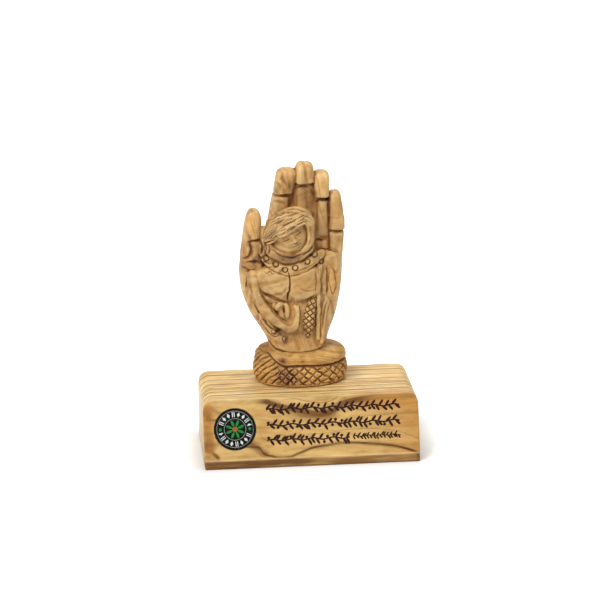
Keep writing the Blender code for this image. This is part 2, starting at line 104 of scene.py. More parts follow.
def placeCamera(view):
    turn, height, roll = (math.radians(view[key]) for key in ("turn", "height", "roll"))
    back = outwards(-turn, height)
    flat = np.array([math.cos(turn), -math.sin(turn), 0.0])
    upright = np.cross(back, flat)
    lens = bpy.data.cameras.new("photoCamera")
    lens.sensor_width = view["sensorWidth"]
    lens.lens = view["focalPixels"] * view["sensorWidth"] / view["imagePixels"]
    lens.clip_start, lens.clip_end = 0.05, 20.0
    camera = addObject("photoCamera", lens)
    right = flat * math.cos(roll) + upright * math.sin(roll)
    up = upright * math.cos(roll) - flat * math.sin(roll)
    setPlace(camera, right, up, back, np.array(view["middle"]) + back * view["distance"])
    bpy.context.scene.camera = camera


placeCamera(cameraView)

# Size and distance in metres, power in watts, place as degrees round from the front and over the horizon
lamps = {
    "windowLamp": {"size": 0.7, "round": -42, "over": 44, "away": 1.3, "power": 10.6, "tint": (1.0, 0.985, 0.96)},
    "topLamp": {"size": 0.9, "round": 10, "over": 82, "away": 1.2, "power": 6.6, "tint": (1.0, 0.99, 0.97)},
    "sideLamp": {"size": 0.8, "round": 62, "over": 28, "away": 1.5, "power": 2.0, "tint": (1.0, 0.99, 0.98)},
    "backLamp": {"size": 0.8, "round": 165, "over": 40, "away": 1.5, "power": 4.0, "tint": (1.0, 1.0, 1.0)},
}
lampAim = (0.0, 0.0, 0.06)


def hangLamp(name, lamp):
    light = bpy.data.lights.new(name, "AREA")
    light.shape = "DISK"
    light.size, light.energy, light.color = lamp["size"], lamp["power"], lamp["tint"]
    outward = outwards(math.radians(lamp["round"]), math.radians(lamp["over"]))
    side = unit(np.cross([0.0, 0.0, 1.0], outward))
    setPlace(addObject(name, light), side, np.cross(outward, side), outward,
             np.array(lampAim) + outward * lamp["away"])


for lampName, lampSettings in lamps.items():
    hangLamp(lampName, lampSettings)


class Wiring:
    # Short calls that add one node each and join it up
    def __init__(self, tree):
        self.nodes, self.links = tree.nodes, tree.links

    def put(self, socket, value):
        if isinstance(value, tuple) and socket.type == "RGBA":
            value = (*value, 1.0)
        if isinstance(value, (int, float, tuple)):
            socket.default_value = value
        else:
            self.links.new(value, socket)

    def feed(self, node, inputs):
        for name, value in inputs.items():
            self.put(node.inputs[name], value)

    def add(self, kind, inputs):
        node = self.nodes.new("ShaderNode" + kind)
        self.feed(node, inputs)
        return node

    def math(self, operation, *values, clamp=False):
        node = self.add("Math", dict(enumerate(values)))
        node.operation, node.use_clamp = operation, clamp
        return node.outputs[0]

    def times(self, a, b, clamp=False):
        return self.math("MULTIPLY", a, b, clamp=clamp)

    def timesPlus(self, a, b, c):
        return self.math("MULTIPLY_ADD", a, b, c)

    def less(self, a, b):
        return self.math("SUBTRACT", a, b)

    def vector(self, operation, a, b):
        node = self.add("VectorMath", {0: a, 1: b})
        node.operation = operation
        return node.outputs["Value" if operation == "DOT_PRODUCT" else "Vector"]

    def noise(self, where, scale, detail=2.0, rough=0.5, dims="3D"):
        node = self.add("TexNoise", {"Scale": scale, "Detail": detail, "Roughness": rough})
        node.noise_dimensions = dims
        self.put(node.inputs["W" if dims == "1D" else "Vector"], where)
        return node.outputs["Fac"]

    def ramp(self, value, stops, ease="LINEAR"):
        # Stops are a place and a grey level or a colour
        node = self.add("ValToRGB", {0: value})
        node.color_ramp.interpolation = ease
        bar = node.color_ramp.elements
        while len(bar) < len(stops):
            bar.new(0.5)
        for element, (place, colour) in zip(bar, stops):
            element.position = place
            element.color = (*colour, 1.0) if isinstance(colour, tuple) else (colour, colour, colour, 1.0)
        return node.outputs["Color"]

    def mix(self, factor, a, b, blend="MIX"):
        node = self.nodes.new("ShaderNodeMix")
        node.data_type, node.blend_type = "RGBA", blend
        self.feed(node, {0: factor, 6: a, 7: b})
        return node.outputs[2]

    def over(self, colour, *layers):
        # Lays each layer over what is there: its share, its colour and, if not a plain mix, its blend
        for share, top, *blend in layers:
            colour = self.mix(share, colour, top, *blend)
        return colour

    def attribute(self, name):
        node = self.add("Attribute", {})
        node.attribute_name = name
        return node.outputs["Fac"]

    def curve(self, value, points, reach, most):
        # A smooth curve through points of x from -reach to reach and height up to most, in millimetres
        node = self.nodes.new("ShaderNodeFloatCurve")
        line = node.mapping.curves[0]
        for _ in points[2:]:
            line.points.new(0.5, 0.5)
        for point, (at, height) in zip(line.points, points):
            point.location = ((at + reach) / (2 * reach), height / most)
        node.mapping.update()
        self.put(node.inputs["Value"], self.timesPlus(value, 0.5 / (reach * mm), 0.5))
        return self.times(node.outputs[0], most * mm)

    def span(self, value, start, end):
        # 0 at the start, 1 at the end, eased between them
        node = self.add("MapRange", {"Value": value, "From Min": start, "From Max": end})
        node.interpolation_type = "SMOOTHSTEP"
        return node.outputs["Result"]

    def bump(self, height, strength, distance):
        return self.add("Bump", {"Height": height, "Strength": strength, "Distance": distance}).outputs[0]

    def seenBy(self, first, second):
        seen = self.add("LightPath", {}).outputs
        return self.math("MAXIMUM", seen[first], seen[second])


def startMaterial(name):
    # The material, its short calls, its shader and the object's own coordinates
    material = bpy.data.materials.new(name)
    material.use_nodes = True
    wire = Wiring(material.node_tree)
    return material, wire, wire.nodes["Principled BSDF"], wire.add("TexCoord", {}).outputs["Object"]


roomLight = {"glow": {"Color": (1.0, 0.995, 0.985), "Strength": 0.35},
             "white": {"Color": (1.0, 1.0, 1.0), "Strength": 1.0}}


def lightWorld():
    # Soft grey light all round, while the camera and what is seen through the lens see plain white
    world = bpy.data.worlds.new("studioWorld")
    bpy.context.scene.world = world
    world.use_nodes = True
    wire = Wiring(world.node_tree)
    wire.nodes.clear()
    glow, white = (wire.add("Background", roomLight[key]).outputs[0] for key in ("glow", "white"))
    mixed = wire.add("MixShader", {0: wire.seenBy("Is Camera Ray", "Is Transmission Ray"), 1: glow, 2: white})
    wire.add("OutputWorld", {0: mixed.outputs[0]})


lightWorld()
bpy.context.scene.view_settings.view_transform = "Standard"

floorPaper = {"white": 0.80, "nearLift": 0.02, "farLift": 0.60, "shadowReach": 0.024, "halfSize": 3.0,
              "block": (cadBounds[1][0], cadBounds[1][1], 0.0)}


def layFloor(paper):
    # White paper that still takes the object's shadow. It glows for the camera and in reflections, less
    # beside the object, where its shadow lies
    mesh = bpy.data.meshes.new("paperFloor")
    mesh.from_pydata([(x * paper["halfSize"], y * paper["halfSize"], 0.0)
                      for x, y in ((-1, -1), (1, -1), (1, 1), (-1, 1))], [], [(0, 1, 2, 3)])
    floor = addObject("paperFloor", mesh)
    material, wire, shader, place = startMaterial("whitePaper")
    away = wire.vector("SUBTRACT", wire.vector("ABSOLUTE", place, (0, 0, 0)), paper["block"])
    awayX, awayY, _ = wire.add("SeparateXYZ", {0: away}).outputs
    share = wire.span(wire.math("MAXIMUM", awayX, awayY), 0.0, paper["shadowReach"])
    lift = wire.timesPlus(share, paper["farLift"] - paper["nearLift"], paper["nearLift"])
    wire.feed(shader, {"Base Color": (paper["white"],) * 3, "Roughness": 0.9, "Specular IOR Level": 0.1,
                       "Emission Color": (1.0, 1.0, 1.0),
                       "Emission Strength": wire.times(lift, wire.seenBy("Is Camera Ray", "Is Glossy Ray"))})
    mesh.materials.append(material)


layFloor(floorPaper)
print("camera, lamps and floor placed")


# Surfaces worked out as arrays

def roundTurns(count):
    return np.linspace(0, 2 * np.pi, count, endpoint=False)


def soften(value, power):
    # Raises the size of a sine or cosine to a power, which squares a round shape where the power is under 1
    return np.sign(value) * np.abs(value) ** power


def squaredRing(count, power):
    # A superellipse of half sizes 1: its two coordinates round the ring
    turn = roundTurns(count)
    return soften(np.cos(turn), power), soften(np.sin(turn), power)


def runLength(points):
    # Distance along a line of points from its first one
    return np.concatenate([[0], np.cumsum(np.linalg.norm(np.diff(points, axis=0), axis=1))])


def alongAndBeside(x, z, degrees):
    # Coordinates along a direction turned from x towards z, and across it
    turn = math.radians(degrees)
    return x * math.cos(turn) + z * math.sin(turn), z * math.cos(turn) - x * math.sin(turn)


def eased(value):
    # 0 to 1 with a soft start and end
    value = np.clip(value, 0, 1)
    return value * value * (3 - 2 * value)


def edged(value, softness):
    # 1 where the value is over 0 and 0 where it is under, with a soft edge
    return np.clip(value / softness + 0.5, 0, 1)


def vee(distance, width):
    # A V-shaped cut: 1 on the line, 0 at its half width
    return np.clip(1 - distance / (width / 2), 0, 1)


def bell(distance, width=1.0):
    # A bell curve: 1 in the middle, about a third at the width
    return np.exp(-(distance / width) ** 2)


def roundSpot(points, x, z, wide, high):
    # A bell over an ellipse seen from the front
    return bell(np.hypot((points[..., 0] - x) / wide, (points[..., 2] - z) / high))


def leafInk(along, beside, length, width, softness, least=0.0):
    # A pointed leaf, the overlap of two arcs, from 0 to its length: 1 inside, 0 outside
    share = along / length
    reach = width * np.sqrt(np.clip(4 * share * (1 - share), 0, 1)) + least
    return edged(reach - np.abs(beside), softness) * (share > 0) * (share < 1)


def closedSurface(points):
    # Rows of points that each close round; the first and last rows are drawn together to a point
    rows, columns = points.shape[:2]
    row, column = np.meshgrid(np.arange(rows - 1), np.arange(columns), indexing="ij")
    beside = (column + 1) % columns
    quads = np.stack([row * columns + column, row * columns + beside,
                      (row + 1) * columns + beside, (row + 1) * columns + column], -1).reshape(-1, 4)
    around = np.arange(columns)
    following = (around + 1) % columns
    south = np.full(columns, rows * columns)
    top = (rows - 1) * columns
    fans = np.concatenate([np.stack([south, following, around], -1),
                           np.stack([south + 1, top + around, top + following], -1)])
    ends = np.stack([points[0].mean(0), points[-1].mean(0)])
    return np.concatenate([points.reshape(-1, 3), ends]), quads, fans


def withPoles(values, ends=(0, 0)):
    # One value for every point of a closed surface, its two poles last
    return np.concatenate([values.ravel(), ends])


def smoothLine(points, count):
    # A curve through every point (Catmull-Rom), read at even steps of its parameter
    points = np.asarray(points, float)
    padded = np.concatenate([points[:1] * 2 - points[1:2], points, points[-1:] * 2 - points[-2:-1]])
    at = np.linspace(0, len(points) - 1, count)
    span = np.minimum(at.astype(int), len(points) - 2)
    t = (at - span)[:, None]
    a, b, c, d = padded[span], padded[span + 1], padded[span + 2], padded[span + 3]
    return 0.5 * (2 * b + (c - a) * t + (2 * a - 5 * b + 4 * c - d) * t ** 2 + (3 * b - a - 3 * c + d) * t ** 3)


def tube(path, sides=20, steps=48, flat=1.0, squareness=2.0):
    # A round or flattened section of changing radius carried along a curve: x, y, z, radius;
    # the radius closes over a quarter circle at both ends
    line = smoothLine(path, steps)
    middle, radius = line[:, :3], line[:, 3]
    along = unit(np.gradient(middle, axis=0))
    run = runLength(middle)
    nearEnd = np.minimum(run, run[-1] - run) / np.maximum(radius, 1e-6)
    radius = radius * np.sqrt(1 - (1 - np.clip(nearEnd, 0, 1)) ** 2) + 0.02
    side = unit(np.cross(along, [0.0, 1.0, 0.0]))
    out = np.cross(side, along)
    across, depth = squaredRing(sides, 2 / squareness)
    section = across[None, :, None] * side[:, None, :] + flat * depth[None, :, None] * out[:, None, :]
    return closedSurface(middle[:, None, :] + radius[:, None, None] * section)


def tilted(x, y, z, centre, degrees):
    # Turned about the front-to-back line, the top going to the viewer's left, then moved to its centre
    turn = math.radians(degrees)
    turned = [x * math.cos(turn) - z * math.sin(turn), y, x * math.sin(turn) + z * math.cos(turn)]
    return np.stack(turned, -1) + np.array(centre)


def eggAngles(count, columns, reach):
    # Angles from pole to pole, stopping just short of both, and angles round
    return np.linspace(-np.pi / 2 * reach, np.pi / 2 * reach, count)[:, None], roundTurns(columns)[None, :]


def pebble(centre, half, degrees=0.0, squareness=2.0):
    # An ellipsoid by latitude and longitude; more squareness fills its box better
    latitude, longitude = eggAngles(40, 56, 0.98)
    power = 2 / squareness
    ring = soften(np.cos(latitude), power)
    x = ring * soften(np.cos(longitude), power) * half[0]
    y = ring * soften(np.sin(longitude), power) * half[1]
    z = soften(np.sin(latitude), power) * half[2] + 0 * longitude
    return closedSurface(tilted(x, y, z, centre, degrees))


def makePiece(name, forms, material=None, smooth=True):
    # Joins surfaces given in the carving's millimetres into one mesh in metres
    verts, loops, starts, base, loopBase = [], [], [], 0, 0
    for points, quads, fans in forms:
        verts.append(points)
        for faces in (quads, fans):
            loops.append((faces + base).ravel())
            starts.append(loopBase + np.arange(len(faces)) * faces.shape[1])
            loopBase += faces.size
        base += len(points)
    verts = np.concatenate(verts) * mm + carvingZero
    loops, starts = np.concatenate(loops), np.concatenate(starts)
    mesh = bpy.data.meshes.new(name)
    mesh.vertices.add(len(verts))
    mesh.vertices.foreach_set("co", verts.astype(np.float32).ravel())
    mesh.loops.add(len(loops))
    mesh.loops.foreach_set("vertex_index", loops.astype(np.int32))
    mesh.polygons.add(len(starts))
    mesh.polygons.foreach_set("loop_start", starts.astype(np.int32))
    mesh.update(calc_edges=True)
    if smooth:
        mesh.shade_smooth()
    if material:
        mesh.materials.append(material)
    return addObject(name, mesh)


def readMesh(mesh):
    # Points in the carving's millimetres, and vertex pairs of the edges
    points = np.empty(len(mesh.vertices) * 3, np.float32)
    mesh.vertices.foreach_get("co", points)
    edges = np.empty(len(mesh.edges) * 2, np.int32)
    mesh.edges.foreach_get("vertices", edges)
    points = (points.reshape(-1, 3).astype(float) - carvingZero) / mm
    return points, edges.reshape(-1, 2)


def readNormals(mesh):
    normals = np.empty(len(mesh.vertices) * 3, np.float32)
    mesh.vertex_normals.foreach_get("vector", normals)
    return normals.reshape(-1, 3).astype(float)


def writePoints(mesh, points):
    # Moves the vertices and gives their new normals
    mesh.vertices.foreach_set("co", (points * mm + carvingZero).astype(np.float32).ravel())
    mesh.update()
    return readNormals(mesh)


def paint(mesh, **layers):
    # Writes values from 0 to 1 per vertex, which the materials read by name
    for name, values in layers.items():
        layer = mesh.attributes.new(name, "FLOAT", "POINT")
        layer.data.foreach_set("value", np.clip(values, 0, 1).astype(np.float32))


def neighbourMean(values, edges):
    # The average of each vertex's neighbours
    count = len(values)
    first, second = edges[:, 0], edges[:, 1]
    degree = np.bincount(first, minlength=count) + np.bincount(second, minlength=count)
    flat = values.reshape(count, -1)
    total = np.stack([np.bincount(first, flat[second, k], count) + np.bincount(second, flat[first, k], count)
                      for k in range(flat.shape[1])], -1)
    return (total / np.maximum(degree, 1)[:, None]).reshape(values.shape)


def relax(points, edges, rounds):
    # Smooths the steps that the welding leaves, without shrinking the form
    for _ in range(rounds):
        points = points + 0.5 * (neighbourMean(points, edges) - points)
        points = points - 0.51 * (neighbourMean(points, edges) - points)
    return points


def dropCrumbs(mesh):
    # Takes away the few loose specks that the weld can leave, so that only the largest body stays
    _, edges = readMesh(mesh)
    first, second = edges.T
    body, before = np.arange(len(mesh.vertices)), None
    while before is None or (body != before).any():
        before = body.copy()
        lower = np.minimum(body[first], body[second])
        np.minimum.at(body, first, lower)
        np.minimum.at(body, second, lower)
        body = body[body]
    crumbs = np.flatnonzero(body != np.bincount(body).argmax())
    if len(crumbs):
        work = bmesh.new()
        work.from_mesh(mesh)
        work.verts.ensure_lookup_table()
        bmesh.ops.delete(work, geom=[work.verts[index] for index in crumbs.tolist()], context="VERTS")
        work.to_mesh(mesh)
        work.free()


def weld(piece, voxel, rounds):
    # One relaxed skin over all the forms that were laid into each other
    merge = piece.modifiers.new("weld", "REMESH")
    merge.mode, merge.voxel_size = "VOXEL", voxel * mm
    mesh = bpy.data.meshes.new_from_object(piece.evaluated_get(bpy.context.evaluated_depsgraph_get()))
    piece.modifiers.clear()
    old, piece.data = piece.data, mesh
    bpy.data.meshes.remove(old)
    mesh.name = piece.name
    dropCrumbs(mesh)
    mesh.shade_smooth()
    points, edges = readMesh(mesh)
    points = relax(points, edges, rounds)
    return mesh, points, writePoints(mesh, points), edges


def hollowness(points, normals, edges, rounds, gain):
    # How far a vertex lies under the mean of its wider surroundings, for the painted shade in the hollows
    mean = points
    for _ in range(rounds):
        mean = neighbourMean(mean, edges)
    return np.sum((mean - points) * normals, -1) * gain


def ripple(points, wave, seed, layers=7):
    # A sum of sine waves in chance directions, from about -1 to 1
    chance = np.random.default_rng(seed)
    total = np.zeros(len(points))
    for _ in range(layers):
        direction = chance.normal(size=3)
        direction = direction / np.linalg.norm(direction) * 2 * np.pi / (wave * chance.uniform(0.7, 1.4))
        total += np.sin(points @ direction + chance.uniform(0, 2 * np.pi))
    return total / math.sqrt(layers)


def lineDistance(points, line):
    # Distance from each point to a line of straight stretches, all seen from the front
    at = points[:, [0, 2]]
    nearest = np.full(len(points), 1e9)
    for start, end in zip(line[:-1], line[1:]):
        step = end - start
        share = np.clip((at - start) @ step / max(step @ step, 1e-9), 0, 1)
        nearest = np.minimum(nearest, np.linalg.norm(at - (start + share[:, None] * step), axis=1))
    return nearest


# Olive wood

# Colours are linear; across is the direction in which the year rings follow each other, fibre the way
# the wood grew, and wander how far the rings stray, in metres
handWood = {
    "across": (0.95, 0.26, 0.14), "fibre": (0.10, 0.10, 1.0),
    "ringWidth": 0.0030, "wander": 0.0040, "wanderScale": 26.0, "veinShare": 0.34,
    "pale": (0.72, 0.478, 0.205), "warm": (0.485, 0.240, 0.062), "brown": (0.245, 0.097, 0.018),
    "dark": (0.138, 0.046, 0.008), "hollowShade": (0.290, 0.115, 0.020), "deepShade": (0.055, 0.017, 0.004),
    "rubbedAndHighlight": (0.82, 0.58, 0.29), "orange": (0.63, 0.295, 0.066), "seed": (0.013, 0.4, 0.07), "roughness": 0.44,
    "knotTint": (0.26, 0.125, 0.060),
}
# The rings cross the robe nearly level, and run round the foot
robeWood = {**handWood, "across": (-0.30, 0.10, 0.94), "fibre": (1.0, 0.1, 0.3), "ringWidth": 0.0054,
            "pale": (0.615, 0.405, 0.172), "warm": (0.50, 0.295, 0.100), "rubbedAndHighlight": (0.78, 0.55, 0.27),
            "veinShare": 0.14, "seed": (0.21, 0.10, 0.33)}
footWood = {**handWood, "across": (0.10, 0.30, 0.95), "fibre": (1.0, 1.0, 0.1), "ringWidth": 0.0026,
            "veinShare": 0.45, "seed": (0.17, 0.03, 0.52), "pale": (0.68, 0.405, 0.130), "warm": (0.50, 0.238,
            0.048),
            "dark": (0.112, 0.036, 0.005), "deepShade": (0.052, 0.015, 0.003)}
# Stained and glowing places of the carving seen from the front, in its millimetres; some of the stains are
# painted
# shade, under the chin and the collar, under finger blocks, where the hand meets the foot and in hollows of the
# robe:
# x, z, half width, half height, tilt in degrees, how strong
woodStainsAndShade = [
    (-4.2, 78.4, 2.4, 7.0, 4, 0.95), (2.6, 79.0, 4.6, 5.0, 0, 0.70), (6.6, 71.0, 2.6, 7.5, -6, 0.85),
    (-10.6, 73.0, 5.4, 6.0, 8, 0.36), (11.4, 66.0, 4.0, 9.0, 0, 0.34), (18.3, 76.0, 3.4, 5.6, 0, 0.34),
    (18.6, 55.4, 3.6, 4.0, 0, 0.40), (-21.6, 52.6, 5.2, 7.0, 0, 0.50), (-11.2, 11.0, 4.6, 1.6, -36, 0.95),
    (18.6, 62.5, 3.4, 3.0, 0, 0.25), (-19.5, 27.5, 2.0, 5.0, 25, 0.40), (6.6, 61.4, 1.4, 6.0, -10, 0.60),
    (-13.2, 62.0, 1.6, 7.0, 20, 0.45), (-26.6, 44.0, 3.0, 8.0, 4, 0.62),
    (-20.6, 33.0, 2.4, 7.0, 10, 0.50), (-22.4, 45.6, 2.6, 3.0, -20, 0.80),
    (2.6, 10.6, 2.8, 3.6, 0, 0.85), (-16.0, 47.0, 3.4, 2.2, -30, 0.80),
    (8.4, 50.6, 3.4, 3.0, 0, 0.45), (3.4, 35.4, 6.4, 5.0, 10, 0.20), (-6.4, 6.6, 4.4, 2.0, 20, 0.55),
    (14.6, 43.4, 2.6, 3.2, 0, 0.40),
    (8.4, 60.5, 2.0, 6.0, -4, 0.50), (-10.4, 81.4, 1.6, 2.6, 10, 0.80), (-7.3, 87.0, 0.9, 4.4, -28, 0.85),
    (-10.0, 76.0, 3.4, 1.4, 0, 0.55), (11.9, 56.5, 5.0, 2.8, 8, 0.55), (-23.8, 52.4, 1.9, 4.6, -4, 0.95),
    (-17.2, 52.6, 3.0, 5.4, -6, 0.80), (-19.4, 46.4, 3.6, 2.6, -20, 0.85), (14.9, 74.0, 1.2, 7.0, 2, 0.75),
    (14.9, 60.0, 1.2, 6.0, 0, 0.70), (12.6, 70.5, 0.8, 6.0, 8, 0.55), (-5.9, 48.4, 9.5, 2.6, 4, 0.95),
    (7.6, 48.4, 2.6, 1.8, 30, 0.70), (-12.6, 30.0, 5.6, 1.2, -22, 0.75), (-7.2, 28.0, 2.0, 1.6, 0, 0.85),
    (-16.6, 27.4, 4.4, 1.7, -48, 0.70), (-11.4, 19.0, 4.0, 1.8, -42, 0.60), (-4.0, 9.4, 5.0, 2.4, 10, 0.65),
    (-25.8, 36.8, 1.6, 7.0, 6, 0.80), (-20.6, 17.6, 1.2, 6.0, 34, 0.60),
    (-22.4, 48.6, 1.6, 3.0, 0, 0.60), (10.9, 22.0, 1.0, 9.0, -4, 0.70), (12.6, 38.0, 1.3, 7.0, 0, 0.65),
    (18.8, 52.0, 2.6, 1.8, -8, 0.50), (1.6, 25.6, 4.4, 1.1, 20, 0.55), (6.9, 38.0, 0.9, 6.0, 0, 0.45),
    (8.4, 69.5, 0.8, 5.0, -6, 0.80),
    (-10.0, -5.0, 3.2, 3.0, 0, 0.55), (-2.0, -1.2, 11.0, 1.2, 0, 0.60), (6.6, 13.0, 1.2, 8.0, 3, 0.60),
]
woodGlows = [
    (-24.4, 65.5, 2.8, 5.6, 4, 0.60), (11.8, 84.0, 2.0, 4.0, 0, 0.55), (18.4, 72.5, 2.2, 5.4, 0, 0.65),
    (16.4, 36.0, 2.4, 8.6, 0, 0.75), (12.2, 52.4, 4.0, 3.4, 0, 0.60), (-24.2, 44.0, 3.4, 2.6, 12, 0.50),
    (-18.6, 24.6, 2.6, 6.4, 32, 0.45), (-6.2, 22.0, 3.4, 2.6, 0, 0.60), (10.0, 12.0, 1.4, 9.0, -4, 0.60),
    (0.0, 60.0, 3.4, 4.6, 20, 0.40), (-14.0, 5.0, 4.6, 3.0, 0, 0.35), (4.0, 35.0, 5.0, 3.4, 14, 0.35),
]


def oliveWood(name, look):
    # Rings: distance across the layers plus slow noise picks a colour band from a one-dimensional
    # noise; thin dark veins follow the same bands; fibres and pores are noise drawn out along the grain
    material, wire, shader, place = startMaterial(name)
    moved = wire.vector("ADD", place, look["seed"])

    def alongGrain(squeeze):
        return wire.vector("MULTIPLY", moved, tuple(1.0 - squeeze * share for share in look["fibre"]))

    slow = wire.noise(moved, look["wanderScale"], 2.0, 0.45)
    slower = wire.noise(moved, look["wanderScale"] * 0.42, 1.0, 0.5)
    stray = wire.timesPlus(slow, look["wander"] * 2, wire.vector("DOT_PRODUCT", moved, look["across"]))
    stray = wire.timesPlus(slower, look["wander"] * 5, stray)
    ringPlace = wire.math("DIVIDE", stray, look["ringWidth"])
    bands = wire.noise(ringPlace, 1.0, 1.6, 0.5, "1D")
    mellow = wire.noise(moved, look["wanderScale"] * 2.6, 3.0, 0.55)
    heart = wire.noise(alongGrain(0.6), 78.0, 3.0, 0.6)
    veins = wire.noise(wire.math("ADD", ringPlace, 41.3), 0.85, 1.0, 0.4, "1D")
    line = wire.math("ABSOLUTE", wire.less(veins, 0.5))
    line = wire.ramp(line, [(0.0, 1.0), (0.016, 0.7), (0.075, 0.0)], "EASE")
    patch = wire.ramp(wire.noise(moved, look["wanderScale"] * 1.4, 2.0, 0.5), [(0.40, 0.0), (0.66, 1.0)])
    cloud = wire.noise(moved, 330.0, 3.0, 0.6)
    glow, stain = wire.attribute("glow"), wire.attribute("stain")
    deep = wire.ramp(stain, [(0.70, 0.0), (0.98, 0.55)])
    colour = wire.over(
        wire.ramp(bands, [(0.30, look["warm"]), (0.43, look["pale"]),
                          (0.58, look["pale"]), (0.72, look["warm"])]),
        (wire.ramp(mellow, [(0.46, 0.0), (0.66, 0.65)]), look["warm"]),
        (wire.ramp(heart, [(0.57, 0.0), (0.72, 0.62)]), look["brown"]),
        (wire.ramp(heart, [(0.28, 0.40), (0.42, 0.0)]), look["orange"]),
        (wire.times(wire.times(line, patch), look["veinShare"]), look["dark"]),
        (wire.times(glow, wire.ramp(cloud, [(0.35, 0.5), (0.6, 1.0)])), look["orange"]),
        # Stains, some of them painted shade
        (wire.times(stain, wire.ramp(cloud, [(0.33, 0.60), (0.58, 1.16)]), clamp=True), look["brown"]),
        (wire.times(deep, wire.ramp(cloud, [(0.36, 0.45), (0.58, 1.0)])), look["dark"]))

    # Fibres: space squeezed along the grain so that the noise is drawn out there
    squeeze = alongGrain(0.93)
    fibres = wire.noise(squeeze, 1400.0, 3.0, 0.6)
    broad = wire.noise(squeeze, 420.0, 2.0, 0.5)
    grainy = wire.noise(alongGrain(0.5), 640.0, 3.0, 0.6)
    # Painted shade in the hollows and the cuts, browner first and darkest at the bottom of the cuts; a dark knot,
    # drawn out upwards in strokes, which in places is painted shade; painted highlight and a little wear on what
    # stands out
    cut, hollow = wire.attribute("cut"), wire.attribute("hollow")
    mottle = wire.ramp(wire.noise(place, 520.0, 2.0, 0.6), [(0.34, 0.55), (0.60, 1.0)])
    strokes = wire.noise(wire.vector("MULTIPLY", moved, (1.0, 1.0, 0.22)), 900.0, 2.0, 0.6)
    knot = wire.times(wire.attribute("knot"), wire.ramp(strokes, [(0.38, 0.75), (0.56, 1.30)]), clamp=True)
    colour = wire.over(
        colour,
        (0.5, wire.ramp(fibres, [(0.30, 0.84), (0.55, 1.0), (0.75, 1.05)]), "MULTIPLY"),
        (0.5, wire.ramp(broad, [(0.30, 0.88), (0.65, 1.04)]), "MULTIPLY"),
        (1.0, wire.ramp(grainy, [(0.30, (0.80, 0.74, 0.62)), (0.52, (1.0, 1.0, 1.0)),
                                 (0.72, (1.08, 1.06, 1.02))]), "MULTIPLY"),
        # Painted shade in the hollows
        (wire.ramp(hollow, [(0.03, 0.0), (0.36, 0.85)]), look["hollowShade"]),
        (wire.times(wire.ramp(hollow, [(0.30, 0.0), (0.95, 0.85)]), mottle), look["dark"]),
        # Painted shade in the cuts: browner first, then dark, darkest at the bottom
        (wire.ramp(cut, [(0.04, 0.0), (0.36, 0.72)]), look["brown"]),
        (wire.times(wire.ramp(cut, [(0.34, 0.0), (0.72, 0.80)]), mottle), look["dark"]),
        (wire.times(wire.ramp(cut, [(0.68, 0.0), (1.0, 0.85)]), mottle), look["deepShade"]),
        # Knots, and in places painted shade in slots and gaps
        (knot, look["knotTint"], "MULTIPLY"),
        # Painted highlight, with a little wear, on what stands out
        (wire.times(wire.attribute("worn"), 0.7), look["rubbedAndHighlight"]))
    rough = wire.timesPlus(cut, 0.25, wire.timesPlus(fibres, 0.16, look["roughness"] - 0.08))
    wire.feed(shader, {"Base Color": colour, "Roughness": rough, "Specular IOR Level": 0.22,
                       "Normal": wire.bump(wire.timesPlus(broad, 0.5, fibres), 0.25, 0.00012)})
    return material


carvingWood = oliveWood("oliveCarving", handWood)
drapedWood = oliveWood("oliveRobe", robeWood)
turnedWood = oliveWood("oliveFoot", footWood)
print("olive wood mixed")

# Dark knots of the hand, the robe and the hair, written as the stains are; on the hand many are painted shade, in
# the slots under the finger blocks and in the gaps between the fingers
palmKnotsAndShade = [
    (-3.0, 78.6, 1.3, 4.6, -4, 0.80), (2.1, 82.9, 3.4, 0.5, 0, 0.95), (11.0, 75.2, 3.0, 0.6, 0, 0.95),
    (9.8, 54.4, 2.4, 0.5, 0, 0.85), (-23.3, 71.8, 2.2, 0.5, 0, 0.70), (6.8, 79.0, 0.8, 3.4, -4, 0.70),
    (-25.2, 56.6, 0.6, 3.4, 0, 0.75), (-9.6, 75.9, 3.4, 0.5, 4, 0.60), (14.6, 70.0, 0.5, 6.0, 2, 0.55),
    (-21.0, 47.4, 2.8, 1.3, -24, 0.95), (-8.9, 7.0, 1.6, 1.6, 0, 0.80),
    (-24.2, 41.0, 1.8, 0.9, -30, 0.75), (-9.6, 84.0, 0.7, 3.0, -34, 0.60),
]
robeKnots = [
    (-17.4, 47.4, 1.3, 1.6, 0, 0.85), (-13.6, 45.7, 0.9, 1.5, 0, 0.85), (-9.1, 42.9, 0.9, 1.6, 0, 0.85),
    (-3.8, 43.8, 0.7, 1.1, 0, 0.60), (2.2, 46.0, 0.7, 1.1, 0, 0.60), (5.6, 49.0, 0.8, 1.2, 0, 0.70),
    (9.9, 45.0, 0.7, 1.2, 0, 0.60), (-19.4, 45.4, 2.6, 1.8, -20, 0.80), (-8.9, 7.2, 1.5, 1.5, 0, 0.80),
    (-17.6, 30.6, 2.0, 0.8, -40, 0.60), (2.6, 8.6, 2.0, 1.4, 0, 0.55), (-18.6, 52.6, 0.8, 3.6, 6, 0.75),
]
hairKnots = [
    (-7.4, 72.0, 0.9, 4.6, 68, 1.00), (-3.4, 64.6, 1.0, 3.8, 62, 0.85), (-11.2, 66.0, 0.9, 4.0, 52, 0.85),
    (2.0, 69.6, 1.2, 3.0, 60, 0.75), (-14.4, 60.0, 1.6, 3.0, 40, 0.85), (-7.0, 60.6, 0.8, 4.0, 64, 0.60),
]




